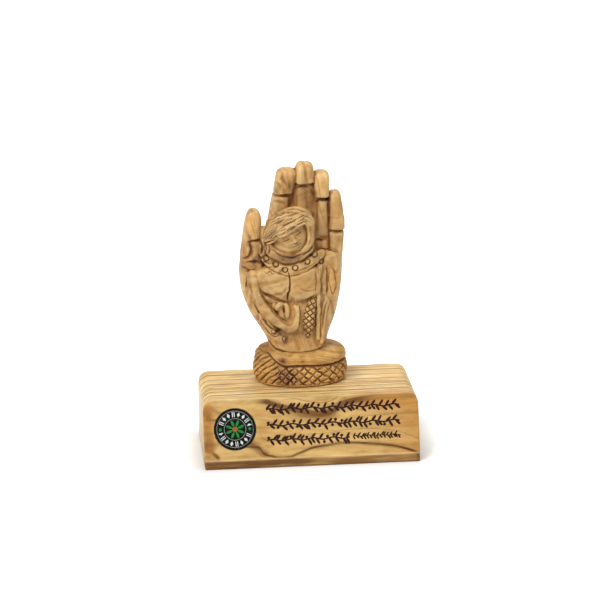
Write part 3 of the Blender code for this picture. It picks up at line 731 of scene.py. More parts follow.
def spotted(points, normals, spots):
    # The strongest of a list of soft tilted ellipses, on the front of the carving only
    front = np.clip(0.4 - normals[:, 1] * 1.6, 0, 1)
    stray = 0.8 * ripple(points, 6.0, 31), 0.8 * ripple(points, 6.0, 32)
    most = np.zeros(len(points))
    for x, z, wide, high, degrees, strong in spots:
        along, beside = alongAndBeside(points[:, 2] + stray[1] - z, points[:, 0] + stray[0] - x, degrees)
        most = np.maximum(most, strong * np.clip(1.55 - np.hypot(beside / wide, along / high), 0, 1))
    return most * front


def paintSpots(mesh):
    points, _ = readMesh(mesh)
    normals = readNormals(mesh)
    paint(mesh, stain=spotted(points, normals, woodStainsAndShade), glow=spotted(points, normals, woodGlows))


# The open hand: palm, thumb and fingers

palmCuts = [  # height, left, right, front, back
    (-9.0, -14.6, 12.2, -12.8, 12.0), (-3.0, -15.4, 12.8, -13.5, 12.4), (1.0, -15.9, 13.2, -13.6, 12.6),
    (5.4, -17.2, 14.0, -13.4, 12.7), (10.4, -20.2, 15.9, -13.2, 13.0), (15.4, -23.3, 17.8, -12.8, 13.4),
    (20.4, -25.8, 19.1, -12.3, 13.8), (25.4, -27.2, 20.1, -11.8, 14.0), (30.4, -27.9, 20.9, -11.0, 14.0),
    (36.4, -27.4, 21.7, -10.0, 13.7), (42.4, -25.2, 22.1, -8.8, 13.0), (48.4, -22.2, 22.3, -7.4, 12.2),
    (54.4, -18.8, 22.2, -5.8, 11.0), (60.4, -16.2, 22.0, -4.4, 9.8), (65.0, -14.6, 21.6, -3.4, 8.8),
]
thumbCuts = [
    (14.0, -21.6, -8.0, -10.6, 6.2), (24.4, -27.2, -12.0, -11.6, 6.8), (32.4, -29.3, -15.2, -11.6, 6.4),
    (39.4, -29.9, -17.4, -11.2, 5.4), (46.4, -29.4, -18.2, -10.6, 4.0), (52.4, -28.7, -18.7, -10.2, 3.0),
    (58.4, -27.9, -18.7, -10.2, 2.4), (64.4, -27.0, -18.6, -10.4, 1.8), (68.4, -26.3, -18.9, -10.0, 1.2),
    (72.2, -25.6, -19.4, -9.2, 0.6),
]
# Each finger is a run of blocks with slots between them, standing in front of a slimmer core:
# low end and high end as height, left, right, front; the last block carries the rounded tip
fingers = {
    "index": {"blocks": [((40.0, -19.4, -4.8, -5.6), (63.9, -15.6, -5.2, -6.6)),
                         ((64.9, -15.1, -4.6, -6.4), (78.0, -12.5, -4.2, -7.6)),
                         ((79.0, -12.4, -2.2, -8.2),
                         (91.6, -10.2, -0.7, -8.2))], "back": (12.0, 3.0), "tip": 3.6},
    "middle": {"blocks": [((40.0, -5.0, 5.4, -5.0), (64.6, -2.2, 5.8, -5.4)),
                          ((65.6, -2.4, 7.0, -5.4), (82.6, -1.6, 7.2, -6.6)),
                          ((84.0, -1.5, 8.0, -9.2), (94.6, -1.1, 7.6, -8.9))], "back": (12.2, 2.9), "tip": 4.2},
    "ring": {"blocks": [((40.0, 5.6, 14.4, -6.2), (55.2, 7.0, 14.6, -6.4)),
                        ((56.3, 8.6, 15.0, -5.2), (75.2, 8.8, 15.0, -6.2)),
                        ((76.7, 7.6, 15.0, -8.8), (89.9, 7.7, 15.6, -8.4))], "back": (12.0, 2.9), "tip": 3.8},
    "little": {"blocks": [((34.0, 13.4, 20.6, -5.2), (58.6, 15.4, 22.9, -7.0)),
                          ((59.7, 15.4, 23.0, -7.4), (66.8, 15.2, 22.9, -7.6)),
                          ((66.0, 15.1, 22.5, -7.8),
                          (79.5, 15.2, 20.9, -7.4))], "back": (11.4, 2.2), "tip": 3.6},
}
# Cuts of the hand seen from the front: points of x and z, then depth, width and how dark
handCuts = [
    ([(-25.4, 56.2), (-23.0, 56.8), (-18.6, 56.9)], 1.9, 2.0, 0.6),
    ([(-25.2, 56.2), (-24.3, 53.8), (-24.5, 50.6), (-25.8, 48.6), (-28.9, 48.0)], 1.3, 2.0, 0.80),
    ([(-26.9, 46.0), (-24.6, 46.6), (-20.0, 46.4)], 1.2, 1.6, 0.5),
    ([(-28.0, 41.8), (-24.8, 41.4), (-22.0, 43.0)], 0.9, 1.3, 0.5),
    ([(-28.6, 43.8), (-26.0, 42.2), (-25.0, 40.4), (-26.0, 37.2), (-27.3, 33.6)], 1.1, 1.9, 1.0),
    ([(-23.4, 26.0), (-21.7, 22.2), (-19.8, 18.6), (-19.6, 15.8)], 0.9, 1.5, 0.75),
    ([(7.4, 55.0), (9.4, 55.3), (11.8, 54.9)], 1.2, 1.2, 0.85),
    ([(9.8, 50.8), (14.5, 49.9), (18.9, 48.2)], 0.7, 1.1, 0.45),
    ([(15.0, 59.0), (14.9, 53.0), (14.7, 49.6)], 0.8, 1.2, 0.5),
    ([(14.2, 51.6), (17.6, 50.0), (20.2, 46.8)], 0.3, 1.4, 0.3),
    ([(-16.6, 5.0), (-14.5, 1.9), (-10.2, -0.1), (-4.6, -0.9), (0.4, -1.1), (6.7, -0.5), (11.1, 1.0),
    (13.0, 3.2)],
     1.2, 1.7, 0.85),
    ([(-24.0, 18.0), (-20.4, 12.6), (-17.2, 8.4)], 0.3, 1.2, 0.4),
    ([(12.2, 12.0), (13.0, 18.0), (15.6, 26.0)], 0.4, 1.2, 0.45),
    ([(17.4, 27.0), (18.6, 34.0), (19.2, 41.0)], 0.3, 1.1, 0.35),
    ([(-19.0, 31.0), (-15.6, 26.4), (-11.6, 21.0), (-8.4, 17.0)], 1.0, 9.0, 0.0),
]
# Small wild cuts in the dark corner between thumb, hair and collar
tangleCuts = [
    ([(-19.8, 57.4), (-18.8, 53.6), (-19.4, 50.2)], 1.0, 1.3, 1.00),
    ([(-17.8, 57.8), (-16.8, 54.0), (-17.6, 50.2)], 0.9, 1.1, 0.95),
    ([(-15.9, 56.4), (-15.2, 53.4), (-15.8, 50.8)], 0.8, 1.1, 0.90),
    ([(-21.0, 50.0), (-18.6, 48.0), (-16.0, 49.0)], 0.8, 1.1, 0.90),
    ([(-22.6, 47.4), (-20.4, 45.4), (-17.6, 46.4), (-15.4, 45.2)], 0.8, 1.1, 0.95),
    ([(-18.6, 45.4), (-16.4, 43.8), (-14.0, 44.2)], 0.6, 1.0, 0.80),
]

# How the hand is closed, welded and worked, in millimetres
handWork = {
    "palmRound": 10.0, "thumbRound": 5.6, "thumbLean": 1.4, "slotRound": 1.0, "blockLean": 0.8,
    "blockCrown": 0.5, "coreInset": 0.55, "coreBehind": 2.4, "voxel": 0.48, "relaxRounds": 4,
    # Long shallow hollows from the gouge: depth, wave and seed
    "gouges": [(0.12, 7.0, 3), (0.06, 2.6, 8)],
}
# The wood left between the fingers: heights, then left, right, front and back at both of them
webShape = {"heights": (50.0, 84.0), "sides": [(-14.5, -8.0), (20.5, 12.5), (-4.8, -6.3), (9.0, 3.4)],
            "round": 10.0}


def columnSurface(heights, left, right, front, back, squareness, sides=72):
    # A rounded rectangle (superellipse) at every height, filling left to right and front to back
    across, depth = squaredRing(sides, 2 / squareness)
    x = ((left + right) / 2)[:, None] + ((right - left) / 2)[:, None] * across
    y = ((front + back) / 2)[:, None] + ((back - front) / 2)[:, None] * depth
    return closedSurface(np.stack([x, y, heights[:, None] + 0 * x], -1))


def drawnIn(low, high, share, shift=0.0):
    # Two sides brought to a share of their distance about their middle, which may shift as well
    middle = (low + high) / 2 - shift
    return middle + (low - middle) * share, middle + (high - middle) * share


def domeShare(heights, shoulder, tip, power=2.6):
    # 1 under the shoulder, closing to 0 at the tip as a rounded end does
    rise = np.clip((heights - shoulder) / (tip - shoulder), 0, 1)
    return (1 - rise ** power * 0.998) ** (1 / power)


def easedCuts(cuts, steps):
    # Heights from the lowest cut to the top one, and each column of the cuts read there, its corners
    # rounded off
    heights = np.linspace(cuts[0][0], cuts[-1][0], steps)
    line = smoothLine(cuts, 240)
    order = np.argsort(line[:, 0])
    return heights, [np.interp(heights, line[order, 0], line[order, k]) for k in range(1, 5)]


def palmForm():
    # The palm's cuts as a column that closes over a round between the finger roots
    heights, (left, right, front, back) = easedCuts(palmCuts, 180)
    shut = domeShare(heights, palmCuts[-1][0] - handWork["palmRound"], palmCuts[-1][0])
    left, right = drawnIn(left, right, 0.25 + 0.75 * shut)
    return columnSurface(heights, left, right, *drawnIn(front, back, shut), 2.5, 120)


def thumbForm():
    # The thumb's cuts as a column with a crease at its joint and a round tip that leans to the front
    heights, (left, right, front, back) = easedCuts(thumbCuts, 160)
    right = right - 0.6 * bell(heights - 56.6, 1.2)
    shut = domeShare(heights, heights[-1] - handWork["thumbRound"], heights[-1], 2.3)
    lean = handWork["thumbLean"] * (1 - shut)
    return columnSurface(heights, *drawnIn(left, right, shut), *drawnIn(front, back, shut, lean), 2.9)


def blockForm(low, high, back, tipRound):
    # One length of a finger: squared off, its ends closed over a small round or the finger's tip
    low, high, small = np.array(low), np.array(high), handWork["slotRound"]
    heights = np.linspace(low[0], high[0], 120)
    share = (heights - low[0]) / (high[0] - low[0])
    left, right, front = (low[1:] + (high[1:] - low[1:]) * share[:, None]).T
    front = front - handWork["blockCrown"] * np.sin(np.pi * share)
    shut = domeShare(heights, high[0] - tipRound, high[0]) * domeShare(-heights, -low[0] - small, -low[0])
    narrow = shut if tipRound > small else 0.72 + 0.28 * shut
    lean = handWork["blockLean"] * (1 - shut)
    return columnSurface(heights, *drawnIn(left, right, narrow), *drawnIn(front, back, shut, lean), 3.4)


def fingerForms(finger):
    # The blocks in front, and behind them one slimmer core that is seen at the bottom of the slots
    blocks, (rootBack, tipBack), inset = finger["blocks"], finger["back"], handWork["coreInset"]
    bottom, top = blocks[0][0][0], blocks[-1][1][0]

    def backAt(height):
        return rootBack + (tipBack - rootBack) * (height - bottom) / (top - bottom)

    forms = [blockForm(low, high, backAt((low[0] + high[0]) / 2) - 0.6,
                       finger["tip"] if high[0] == top else handWork["slotRound"]) for low, high in blocks]
    heights = np.linspace(bottom, top - 0.6, 160)
    ends = np.array([end for block in blocks for end in block])
    left, right, front = (np.interp(heights, ends[:, 0], ends[:, k]) + more
                          for k, more in ((1, inset), (2, -inset), (3, handWork["coreBehind"])))
    shut = domeShare(heights, top - finger["tip"], top - 0.6)
    front, back = drawnIn(front, backAt(heights), shut)
    return forms + [columnSurface(heights, *drawnIn(left, right, shut), front, back, 3.2)]


def webForm():
    # A column that leans back between its two heights, seen at the bottom of the valleys
    low, high = webShape["heights"]
    heights = np.linspace(low, high, 120)
    share = (heights - low) / (high - low)
    left, right, front, back = (start + (end - start) * share for start, end in webShape["sides"])
    shut = domeShare(heights, high - webShape["round"], high)
    return columnSurface(heights, *drawnIn(left, right, shut), front, back, 3.0, 96)


def carveLines(points, normals, cuts):
    # Sinks every vertex near a cut line, on the front only, and says how dark the cut is there, which the
    # materials paint as shade in the groove; both change along the line as the knife's pressure did
    depth, dark = np.zeros(len(points)), np.zeros(len(points))
    facing = np.clip(-normals[:, 1] * 2.2, 0, 1)
    pressure = 0.5 + 0.5 * ripple(points * np.array([1.0, 0.0, 1.0]), 5.0, 77)
    strayed = points + np.stack([0.16 * ripple(points, 3.0, 5), 0 * depth, 0.16 * ripple(points, 3.4, 6)], -1)
    for line, deep, width, tone in cuts:
        path = smoothLine(line, 8 * len(line))
        run, left = (np.linalg.norm(points[:, [0, 2]] - end, axis=1) for end in (path[0], path[-1]))
        taper = np.clip(np.minimum(run, left) / 2.6 + 0.25, 0, 1) * (0.72 + 0.28 * np.clip(pressure, 0, 1))
        shape = vee(lineDistance(strayed, path), width * (0.6 + 0.4 * taper)) * taper * facing
        depth = np.maximum(depth, deep * shape ** 0.8)
        firm = 0.62 + 0.38 * np.clip(pressure * 1.3, 0, 1)
        dark = np.maximum(dark, tone * np.clip(shape * 1.5, 0, 1) * firm)
    return depth, dark


def carveHand():
    forms = [palmForm(), thumbForm(), webForm()] + sum((fingerForms(finger) for finger in fingers.values()), [])
    hand = makePiece("carvedPalmAndFingers", forms)
    mesh, points, normals, edges = weld(hand, handWork["voxel"], handWork["relaxRounds"])
    # Hand work is stronger along the wood than across it
    stretched = points * np.array([1.0, 1.0, 0.35])
    uneven = sum(deep * ripple(stretched, wave, seed) for deep, wave, seed in handWork["gouges"])
    depth, dark = carveLines(points, normals, handCuts + tangleCuts)
    points = points + normals * uneven[:, None]
    points[:, 1] += depth
    normals = writePoints(mesh, points)
    near = hollowness(points, normals, edges, 12, 1.5)
    wide = hollowness(points, normals, edges, 50, 0.55)
    # Painted shade in the hollows and cuts; painted highlight with a little wear on what stands out
    paint(mesh, hollow=np.clip(near, 0, 1) + np.clip(wide, 0, 1), worn=-near * 0.8, cut=dark,
          knot=spotted(readMesh(mesh)[0], normals, palmKnotsAndShade))
    paintSpots(mesh)
    mesh.materials.append(carvingWood)
    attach(hand, "root")
    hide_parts("carved_hand")


carveHand()
print("hand carved")


# The sleeping child in the palm: x, z, y and radius are in the carving's millimetres

childForms = {
    "masses": [  # centre, half sizes, tilt, squareness
        ((-7.2, -9.2, 34.6), (17.4, 5.8, 9.4), 3, 3.8),
        ((3.6, -8.2, 15.4), (8.6, 4.4, 12.4), 4, 2.4),
        ((-5.0, -9.6, 53.0), (8.6, 4.6, 6.0), -6, 2.0),
        ((14.6, -7.6, 43.4), (4.8, 2.4, 6.2), 6, 2.6),
        ((-11.4, -8.8, 21.4), (3.6, 3.2, 9.0), 38, 2.4),
        ((15.2, -7.4, 34.0), (3.4, 2.8, 9.6), 0, 2.4),
        ((-17.8, -8.2, 52.4), (2.6, 2.8, 6.0), -6, 2.2),
        ((-17.4, -5.4, 56.8), (3.4, 3.4, 6.4), 4, 2.4),
    ],
    "rolls": [  # points of x, y, z, radius, then how flat and how square
        ([(-23.2, -9.6, 42.4, 2.4), (-23.6, -11.4, 37.0, 3.1), (-22.0, -12.2, 30.4, 2.9),
        (-19.3, -12.7, 24.2, 2.9),
          (-15.2, -13.2, 18.8, 2.8), (-10.4, -13.7, 14.4, 2.5), (-5.8, -14.0, 12.2, 2.1),
          (-3.0, -14.0, 14.4, 1.9),
          (-2.2, -13.9, 18.6, 1.7), (-2.0, -13.6, 22.2, 1.5), (-3.8, -13.0, 24.6, 1.1)], 1.0, 2.4),
        ([(-16.4, -9.4, 55.4, 1.8), (-13.8, -11.4, 51.2, 2.8), (-8.6, -12.6, 48.6, 3.2),
        (-2.6, -12.6, 48.4, 3.2),
          (2.8, -11.4, 50.8, 2.8), (5.8, -9.4, 55.0, 2.0)], 1.0, 2.2),
        ([(1.6, -13.2, 67.4, 1.2), (4.3, -13.0, 65.0, 2.0), (5.0, -13.1, 60.8, 2.2), (4.6, -13.3, 56.8, 2.1),
          (2.8, -13.5, 53.4, 1.8), (0.2, -13.6, 51.2, 1.2)], 1.0, 2.4),
        ([(-18.8, -9.0, 48.6, 0.9), (-16.2, -11.4, 46.5, 2.0), (-9.4, -13.0, 43.0, 2.5),
        (-3.0, -13.2, 43.2, 2.6),
          (3.8, -12.3, 45.4, 2.7), (9.0, -10.4, 48.2, 2.4), (12.2, -8.6, 50.4, 1.4)], 0.62, 3.2),
        ([(-18.6, -11.2, 29.0, 0.7), (-16.8, -12.0, 25.8, 1.0), (-15.0, -12.2, 23.0, 0.9),
        (-13.2, -12.2, 20.8, 0.6)],
         1.0, 2.0),
        ([(-15.2, -11.6, 28.4, 0.8), (-13.6, -12.4, 26.2, 1.1), (-13.4, -12.6, 24.0, 1.0),
        (-13.0, -12.4, 22.4, 0.6)],
         1.0, 2.0),
        ([(-8.8, -12.0, 27.0, 0.9), (-10.4, -13.2, 25.0, 1.5), (-11.8, -13.4, 23.0, 1.3),
        (-12.2, -12.8, 21.6, 0.7)],
         1.0, 2.4),
        ([(-10.2, -12.6, 23.2, 0.8), (-10.4, -13.2, 21.0, 1.2), (-9.8, -13.2, 18.8, 1.2),
        (-9.2, -12.8, 16.8, 0.6)],
         1.0, 2.0),
        ([(-8.4, -12.4, 25.6, 0.8), (-7.2, -13.0, 23.2, 1.2), (-7.0, -13.0, 20.4, 1.2),
        (-7.2, -12.8, 17.4, 0.8)],
         1.0, 2.0),
        ([(-20.6, -11.6, 20.6, 1.2), (-18.4, -13.0, 16.9, 1.7), (-15.8, -14.2, 13.3, 1.7),
        (-13.4, -14.8, 10.6, 1.5)],
         1.0, 2.2),
        ([(-20.0, -9.6, 17.6, 1.8), (-17.8, -11.2, 13.4, 2.5), (-14.8, -12.8, 10.2, 2.6),
        (-11.6, -13.8, 7.9, 2.3),
          (-8.4, -14.4, 6.4, 1.8)], 1.0, 2.2),
        ([(10.0, -9.4, 46.0, 1.2), (9.2, -10.8, 40.0, 1.6), (8.7, -11.4, 33.0, 1.6), (8.5, -11.8, 24.0, 1.5),
          (8.3, -12.3, 14.0, 1.4), (8.2, -12.6, 5.0, 1.0)], 0.8, 2.4),
        ([(12.9, -9.0, 26.0, 0.9), (12.0, -10.4, 22.0, 1.4), (11.0, -11.3, 16.0, 1.4), (10.2, -12.1, 8.0, 1.2),
          (9.8, -12.5, 3.0, 0.8)], 0.8, 2.2),
        ([(11.9, -8.6, 45.4, 1.2), (11.8, -9.5, 39.6, 1.5), (11.6, -10.0, 33.0, 1.4), (11.3, -10.2, 28.0, 1.0)],
         0.7, 2.2),
        ([(15.0, -8.2, 45.6, 1.4), (15.1, -9.0, 39.6, 1.8), (15.1, -9.3, 33.0, 1.7), (15.0, -9.2, 27.6, 1.0)],
         0.7, 2.2),
        ([(18.2, -7.0, 43.6, 1.0), (18.3, -7.8, 39.0, 1.3), (18.1, -8.2, 33.4, 1.2), (17.8, -8.2, 29.2, 0.8)],
         0.7, 2.2),
    ],
}

# Cuts of the robe seen from the front: points of x and z, then depth, width and how dark
robeCuts = [
    ([(-6.1, 41.2), (-5.6, 36.8), (-5.9, 32.9), (-6.7, 29.7), (-6.7, 26.2)], 1.2, 1.2, 1.0),
    ([(-20.2, 32.6), (-18.2, 30.8), (-15.0, 29.3), (-11.5, 27.4), (-6.9, 25.6)], 1.2, 2.2, 0.6),
    ([(-6.7, 26.0), (-1.7, 24.7), (2.4, 26.2), (6.8, 28.8)], 1.1, 2.0, 0.6),
    ([(-16.0, 43.2), (-11.4, 41.2), (-6.6, 39.6), (-1.8, 40.0), (3.5, 41.8), (9.0, 44.3),
    (12.0, 46.6)], 0.5, 1.3, 0.32),
    ([(-15.4, 48.9), (-12.5, 47.4), (-7.6, 45.5), (-1.4, 46.3), (3.6, 48.6), (7.3, 51.0)], 1.0, 2.1, 0.7),
    ([(-3.6, 41.6), (2.4, 43.0), (8.4, 45.6)], 0.35, 0.7, 0.4),
    ([(-20.8, 34.0), (-20.0, 31.4), (-18.4, 28.2), (-13.8, 21.0), (-8.4, 15.4), (-5.8, 14.8), (-4.2, 17.0),
      (-3.4, 21.4)], 0.8, 1.9, 0.36),
    ([(-19.4, 31.6), (-15.4, 28.7), (-12.4, 27.3), (-9.4, 25.9)], 0.8, 1.3, 0.8),
    ([(-25.4, 36.0), (-23.8, 29.0), (-21.6, 22.4), (-20.2, 19.6)], 0.5, 1.8, 0.28),
    ([(-19.6, 18.4), (-16.6, 14.4), (-13.0, 11.8), (-9.4, 10.2), (-5.2, 9.4), (-1.9, 12.0), (-0.7, 17.6),
      (-0.5, 22.6), (-1.6, 25.4)], 0.9, 1.5, 0.68),
    ([(-18.2, 13.0), (-16.2, 10.6), (-14.2, 8.8), (-12.4, 9.0), (-11.7, 11.0)], 0.6, 1.0, 0.6),
    ([(-17.4, 9.6), (-14.6, 6.4), (-11.4, 4.2), (-8.6, 3.6), (-6.5, 5.2), (-6.4, 7.4)], 0.8, 1.3, 0.8),
    ([(-13.4, 13.4), (-10.8, 11.6), (-8.8, 9.8), (-7.2, 8.2)], 1.2, 2.4, 0.95),
    ([(-11.9, 24.4), (-10.0, 25.4), (-9.2, 26.6)], 0.4, 0.6, 0.5),
    ([(-12.6, 22.6), (-10.6, 23.4), (-9.0, 25.2)], 0.5, 0.8, 0.7),
    ([(7.4, 29.0), (7.2, 21.0), (6.9, 13.0), (6.0, 5.6)], 0.8, 1.4, 0.7),
    ([(10.3, 42.0), (10.1, 36.0), (9.9, 28.0), (9.8, 20.0), (9.5, 12.0), (9.3, 5.0)], 0.6, 1.5, 0.42),
    ([(13.4, 25.4), (12.0, 21.6), (11.0, 16.4), (10.4, 11.0)], 0.7, 1.2, 0.6),
    ([(7.6, 42.0), (7.4, 35.0), (7.2, 29.6)], 0.4, 1.0, 0.4),
    ([(-18.8, 42.8), (-17.2, 41.2), (-15.4, 42.0), (-14.0, 40.8), (-12.2, 41.6)], 0.45, 1.0, 0.4),
    ([(-16.8, 42.2), (-15.8, 40.4), (-14.2, 39.8)], 0.3, 0.8, 0.3),
    ([(-1.0, 33.0), (4.0, 31.4), (8.0, 32.2)], 0.25, 1.4, 0.2),
    ([(-1.6, 9.0), (3.0, 5.2), (6.0, 5.6)], 0.6, 1.2, 0.5),
    ([(-22.6, 24.0), (-24.6, 29.0), (-24.2, 34.0)], 0.3, 1.0, 0.3),
    ([(1.2, 66.0), (2.9, 62.6), (2.9, 58.6), (2.0, 55.0), (-0.4, 52.4)], 0.5, 0.9, 0.8),
    ([(4.2, 67.4), (6.9, 64.0), (7.4, 59.6), (6.4, 55.0), (3.8, 51.8), (1.0, 49.8)], 0.8, 1.2, 0.8),
    ([(4.4, 65.0), (5.1, 60.4), (4.4, 56.4), (3.0, 53.6)], 0.3, 0.6, 0.35),
    ([(13.4, 42.5), (13.3, 36.0), (13.1, 28.5)], 0.6, 1.4, 0.34),
    ([(14.6, 41.0), (14.0, 36.0), (15.2, 29.6), (16.6, 28.2), (17.6, 32.0), (17.2, 38.0),
    (16.2, 41.6)], 0.5, 1.1, 0.40),
    ([(-14.6, 53.6), (-9.6, 50.2), (-4.0, 49.2), (1.6, 50.8)], 0.5, 1.4, 0.4),
]
childNails = [(-14.0, 11.4, 36), (-8.7, 7.2, 40)]  # x, z, tilt in degrees
collarBeads = [(-16.9, 48.2), (-12.4, 45.4), (-7.9, 42.7), (-2.8, 43.5), (3.3, 46.2), (7.1, 49.3), (10.4, 45.4)]
robeWork = {"voxel": 0.34, "relaxRounds": 5, "beadRadius": 1.0}


def carveChild():
    # Pebbles and rolls laid into each other and welded, then cut with the knife
    forms = [pebble(centre, half, tilt, square) for centre, half, tilt, square in childForms["masses"]]
    forms += [tube(path, flat=flat, squareness=square) for path, flat, square in childForms["rolls"]]
    child = makePiece("carvedChildRobe", forms)
    mesh, points, normals, edges = weld(child, robeWork["voxel"], robeWork["relaxRounds"])
    depth, dark = carveLines(points, normals, robeCuts + tangleCuts)
    # A ring cut round each bead of the collar, its dark a painted shade that is heaviest at its lower right, away
    # from the light, and the bead left standing in it
    front, radius = np.clip(-normals[:, 1] * 2.2, 0, 1), robeWork["beadRadius"]
    for x, z in collarBeads:
        across, up = points[:, 0] - x, points[:, 2] - z
        reach = np.hypot(across, up)
        ring = bell(reach - radius * 1.25, 0.36) * front
        dome = np.sqrt(np.clip(1 - (reach / radius) ** 2, 0, 1))
        depth = np.maximum(depth, 0.75 * ring) - 0.45 * dome * front
        dark = np.maximum(dark, ring * np.clip(0.42 + 0.60 * (across - up) / (reach + 0.3), 0.12, 1))
    for x, z, degrees in childNails:
        beside, along = alongAndBeside(points[:, 0] - x, points[:, 2] - z, degrees)
        reach = np.hypot(along / 1.45, beside / 1.05)
        edge = bell(reach - 1.0, 0.24) * front
        depth = np.maximum(depth, 0.5 * edge)
        dark = np.maximum(dark, 0.6 * edge) * np.clip(reach, 0, 1)
    uneven = 0.07 * ripple(points * np.array([1.0, 1.0, 0.5]), 3.4, 21)
    points = points + np.stack([0 * depth, depth, 0 * depth], -1) + normals * uneven[:, None]
    normals = writePoints(mesh, points)
    hollow = hollowness(points, normals, edges, 14, 1.8)
    # Painted shade in the scoop under the chin and in the one under the arm
    right, up = points[:, 0], points[:, 2]
    chin = bell(np.hypot((right + 5.6) / 7.6, (up - 48.4 - 0.05 * (right + 5.6) ** 2) / 1.7))
    arm = bell(np.hypot((right + 10.2) / 4.4, (up - 10.4 + 0.75 * (right + 10.2)) / 1.9))
    knot = np.maximum(np.maximum(chin, arm) * front, spotted(points, normals, robeKnots))
    # Painted shade in the hollows and cuts; painted highlight with a little wear on what stands out
    paint(mesh, hollow=hollow, worn=-hollow, cut=dark, knot=knot)
    paintSpots(mesh)
    mesh.materials.append(drapedWood)
    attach(child, "root")
    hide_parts("carved_hand")


carveChild()

headShape = {"centre": (-4.3, -8.7, 60.2), "half": (8.7, 8.2, 10.2), "tilt": 28.0, "jaw": 0.16}


def facePush(u, v):
    # How far the face stands out towards the viewer at each place across and up the head, in
    # millimetres: eyes on the middle line, nose halfway from there to the chin, mouth under it
    def spot(x, z, wide, high):
        return np.exp(-((u - x) / wide) ** 2 - ((v - z) / high) ** 2)

    def both(x, z, wide, high):
        return spot(x, z, wide, high) + spot(-x, z, wide, high)

    def fading(distance, half, power=4):
        return np.clip(1 - (distance / half) ** power, 0, 1)

    side = np.abs(u)
    bridge = bell(u, 0.95) * np.clip((2.4 - v) / 4.6, 0, 1) * np.clip((v + 3.9) / 0.7, 0, 1)
    push = 1.7 * bridge + 0.7 * spot(0, -2.7, 1.1, 0.9) + 0.45 * both(1.25, -3.0, 0.65, 0.6)
    push += -0.85 * both(3.4, 0.5, 2.0, 1.5) + 0.62 * both(3.4, 0.1, 1.7, 0.95)
    push += 0.50 * both(3.2, 2.3, 2.4, 0.7) + 0.55 * both(4.6, -3.2, 2.6, 2.4)
    push += fading(u, 2.5, 2) * (0.55 * bell(v + 4.95, 0.5) + 0.65 * bell(v + 6.05, 0.6))
    push += 0.9 * spot(0, -8.3, 2.4, 1.3) - 0.3 * spot(0, -7.0, 2.0, 0.4) - 0.25 * spot(0, -4.2, 0.4, 0.6)
    lidLine = fading(side - 3.4, 1.9) * bell(v + 0.62 - 0.09 * (side - 3.4) ** 2, 0.20)
    mouthLine = fading(u, 2.5) * bell(v + 5.5 - 0.05 * u ** 2, 0.20)
    browLine = fading(side - 3.3, 2.2) * bell(v - 2.2 + 0.06 * u ** 2, 0.3)
    cut = np.maximum(lidLine, mouthLine)
    return push - 0.5 * cut, np.clip(cut + 0.3 * browLine, 0, 1)


def carveHead():
    # An egg whose poles are at the ears, pushed out and in where the face and the hair need it
    across, around = eggAngles(150, 300, 0.985)
    half = headShape["half"]
    ring = np.cos(across)
    z = ring * np.sin(around) * half[2]
    y = ring * np.cos(around) * half[1] * -1
    jaw = 1 - headShape["jaw"] * np.clip(-z / half[2], 0, 1) ** 2
    x = (np.sin(across) * half[0] + 0 * around) * jaw
    push, cut = facePush(x, z)
    face = np.clip(-y / half[1] * 2.2, 0, 1)
    y = y - push * face
    surface = closedSurface(tilted(x, y, z, headShape["centre"], headShape["tilt"]))
    head = makePiece("carvedChildHead", [surface], drapedWood)
    mesh = head.data
    mesh.flip_normals()
    points, edges = readMesh(mesh)
    hollow = hollowness(points, readNormals(mesh), edges, 10, 2.2)
    # Painted shade in the hollows and in the lid and mouth cuts; painted highlight on what stands out
    paint(mesh, cut=withPoles(cut * face) * 0.9, hollow=hollow, worn=-hollow)
    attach(head, "root")
    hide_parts("carved_hand")


carveHead()

